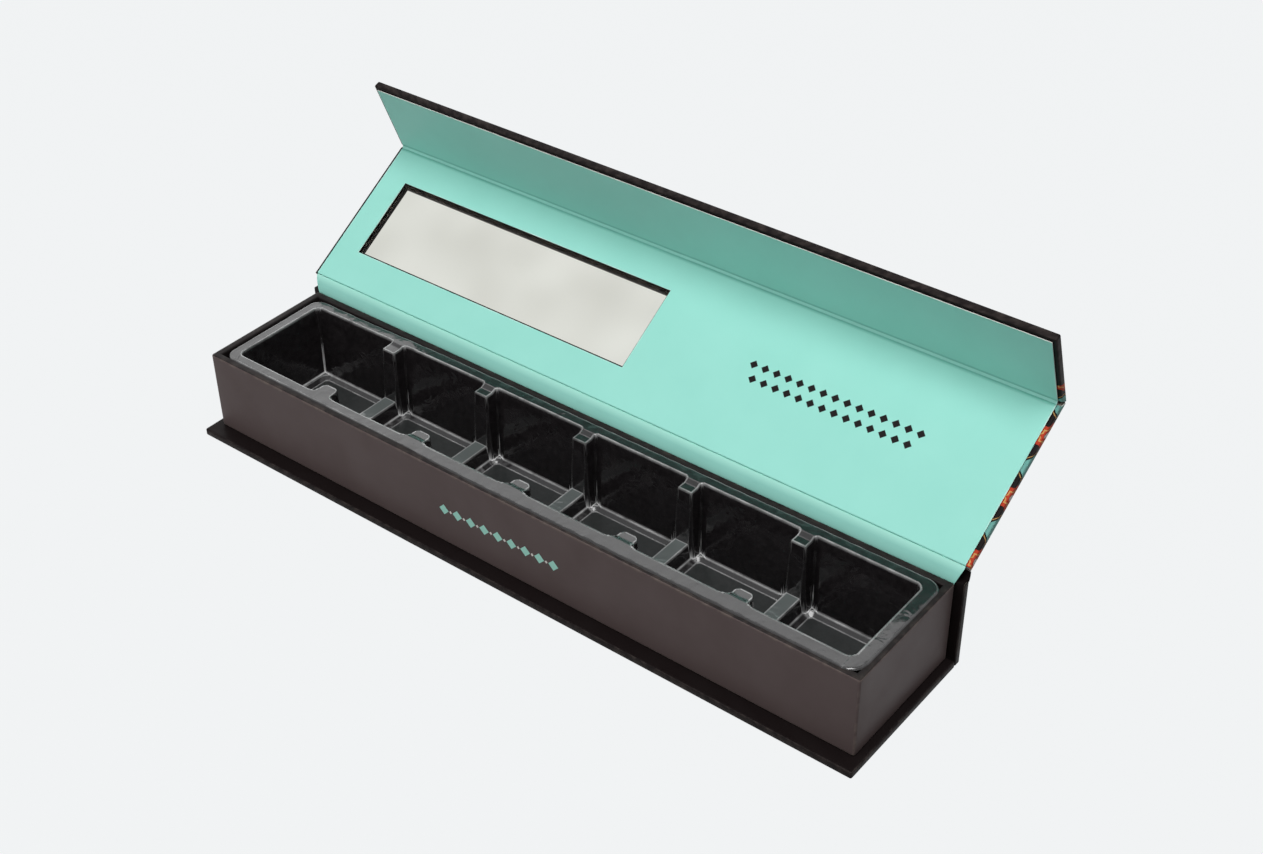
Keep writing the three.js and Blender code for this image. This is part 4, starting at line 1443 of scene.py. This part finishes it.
def formed_insert():
    """The height field on its graded grid, seated on the tray."""
    end, deep = mouth_half[0] - FINE_ALONG, mouth_half[1] - FINE_ACROSS
    cuts = np.sort(np.concatenate([walls_x - FINE_ALONG, walls_x + FINE_ALONG]))
    xs = lines([FINE, COARSE] * CAVITIES + [FINE], -insert_half[0], -end, *cuts, end, insert_half[0])
    ys = lines([FINE, COARSE, FINE], -insert_half[1], -deep, deep, insert_half[1])
    x, y = round_corners(*np.meshgrid(xs, ys))
    z = insert_height(x, y)
    points = np.stack([x + insert_mid[0], y + insert_mid[1], z], -1) + seat(x, y)
    faces = grid_faces(len(ys), len(xs))[:, ::-1]
    marks = {"edge": tight_bends(points), "painted_reflection": painted_level_reflection(z, xs, ys)}
    return make_piece("formed_insert", points.reshape(-1, 3), faces, ("insert",), **marks)


insert_piece = thicken(formed_insert(), SHEET)

# %% [markdown]
# The film lies behind the window, between the board and the lining. One flat face would mirror like plate
# glass. A grid with a sag of a few hundredths of a millimetre is enough to bend what it mirrors.

# %% Window film
FILM = 0.12
FILM_SAG = 0.05
FILM_PARTS = (44, 14)


def window_film():
    """A flat grid that sags by half a sine wave along both of its sides."""
    fx, fs = (np.linspace(0, 1, parts + 1) for parts in FILM_PARTS)
    x, s = np.meshgrid(film_low[0] + (film_high[0] - film_low[0]) * fx,
                       film_low[1] + (film_high[1] - film_low[1]) * fs)
    sag = FILM_SAG * np.sin(np.pi * fx) * np.sin(np.pi * fs)[:, None]
    points = lid.place(x, s, film_high[2] - sag).reshape(-1, 3)
    return make_piece("clear_window", points, grid_faces(len(fs), len(fx))[:, ::-1], ("film",))


film_piece = thicken(window_film(), FILM)

# %% [markdown]
# Five pieces are attached to the body they ride on, and every piece hides the imported nodes it stands for.
# The sheets that cross a joint and the hinge strips are baked where they stand. What is left of the imported
# model gets its bench finish.


def stand_in(piece, slot, *nodes):
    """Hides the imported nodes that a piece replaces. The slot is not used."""
    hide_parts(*nodes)


def metres(point):
    """A point of the frame in metres."""
    return tuple(float(v) for v in np.asarray(point) * MM)


for piece, body, slot, node in (
    (base_piece, "box", "case_paper", "base_wrap"),
    (spine_piece, "box", "case_paper", "spine_wrap"),
    (tray_piece, "box", "tray_paper", "tray_wrap"),
    (insert_piece, "box", "insert_plastic", "insert"),
    (film_piece, "lid", "window_film", "window_film"),
):
    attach(piece, body)
    stand_in(piece, slot, node)

for piece, reach, depth, slot, nodes in (
    (cover_piece, fold_start, 0.0, "case_paper", ["lid_wrap", "flap_wrap"]),
    (lining_piece, groove_half, lining_depth, "lining_paper", ["lid_lining", "flap_lining"]),
):
    on_lid = lid.place(0.0, lid_depth - reach, depth)
    on_flap = flap.place(0.0, reach, depth)
    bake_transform(piece)
    stand_in(piece, slot, *nodes)

for piece, slot, nodes in (
    (hinge_cover_piece, "case_paper", ["lid_hinge_wrap"]),
    (hinge_lining_piece, "lining_paper", ["lid_hinge_lining", "spine_lining"]),
):
    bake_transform(piece)
    stand_in(piece, slot, *nodes)

STOCK = {"magnet": "steel", "plate": "steel", "stay": "tape", "floor_paper": "tray"}
for name, node in frame["nodes"].items():
    stock = next((kind for word, kind in STOCK.items() if word in name), "board")
    node.data.materials.clear()
    node.data.materials.append(finish[stock])
print("bench finish on", len(frame["nodes"]), "packed nodes")

# %% [markdown]
# The stage is a pale floor under soft light. A pale sky alone would do, but then the box would hang in the
# air. The floor and the sky show the camera, the mirrors and the film a plain pale grey, while the diffuse
# part of the floor keeps the box's shadow.

# %% Floor and sky
PALE = (0.921, 0.938, 0.947, 1)
FLOOR_GREY = (0.2, 0.2, 0.2, 1)
FLOOR_GLOW = 0.943
FLOOR_HALF = 6.0
FLOOR_DROP = 0.0001
SKY = 0.17


def seen_or_mirrored(tree):
    """1 for rays from the camera, from mirrors and through glass."""
    rays = put(tree, "ShaderNodeLightPath").outputs
    seen = calc(tree, "MAXIMUM", rays["Is Camera Ray"], rays["Is Glossy Ray"])
    return calc(tree, "MAXIMUM", seen, rays["Is Transmission Ray"])


def blend_shaders(tree, share, first, second, output):
    """Mixes two shaders into a tree's output."""
    mixed = put(tree, "ShaderNodeMixShader", {0: share, 1: first.outputs[0], 2: second.outputs[0]})
    wire(tree, put(tree, output).inputs["Surface"], mixed.outputs[0])


def empty_tree(owner):
    """The node tree of a material or world, with nothing in it."""
    owner.use_nodes = True
    owner.node_tree.nodes.clear()
    return owner.node_tree


pale_floor = bpy.data.materials.new("pale_floor")
tree = empty_tree(pale_floor)
matt = put(tree, "ShaderNodeBsdfDiffuse", {"Color": FLOOR_GREY})
glow = put(tree, "ShaderNodeEmission", {"Color": PALE})
share = product(tree, seen_or_mirrored(tree), FLOOR_GLOW)
blend_shaders(tree, share, matt, glow, "ShaderNodeOutputMaterial")

corners = [(-1, -1), (1, -1), (1, 1), (-1, 1)]
mesh = bpy.data.meshes.new("floor")
spots = [(FLOOR_HALF * x, FLOOR_HALF * y, -FLOOR_DROP) for x, y in corners]
mesh.from_pydata(spots, [], [(0, 1, 2, 3)])
mesh.materials.append(pale_floor)
floor = bpy.data.objects.new("floor", mesh)
bpy.context.scene.collection.objects.link(floor)

sky = bpy.data.worlds.new("sky")
bpy.context.scene.world = sky
tree = empty_tree(sky)
light = put(tree, "ShaderNodeBackground", {"Color": (1, 1, 1, 1), "Strength": SKY})
shown = put(tree, "ShaderNodeBackground", {"Color": PALE, "Strength": 1.0})
blend_shaders(tree, seen_or_mirrored(tree), light, shown, "ShaderNodeOutputWorld")
print("floor", 2 * FLOOR_HALF, "m wide")

# %% [markdown]
# Three square lamps light the box. A small one overhead draws the glints in the insert's corners, a wider
# one in front lights the tray and the flap, and the widest stands behind and to the left, so that the
# insert's rim mirrors it and the flap shades the lid.

# %% Lamps
LAMP_AIM = (0, 0.02, 0.03)


def soft_lamp(name, place, size, power):
    """A square area lamp that faces the box."""
    data = bpy.data.lights.new(name, "AREA")
    data.size = size
    data.energy = power
    lamp = bpy.data.objects.new(name, data)
    lamp.location = place
    lamp.rotation_mode = "QUATERNION"
    lamp.rotation_quaternion = (Vector(LAMP_AIM) - Vector(place)).to_track_quat("-Z", "Y")
    bpy.context.scene.collection.objects.link(lamp)
    print(name, "lamp", size, "m wide,", power, "W")


soft_lamp("overhead", (0.25, -0.1, 0.9), 0.4, 5.3)
soft_lamp("front", (-0.25, -0.8, 0.6), 0.6, 4.4)
soft_lamp("behind", (-0.85, 1.05, 0.95), 1.1, 5.0)
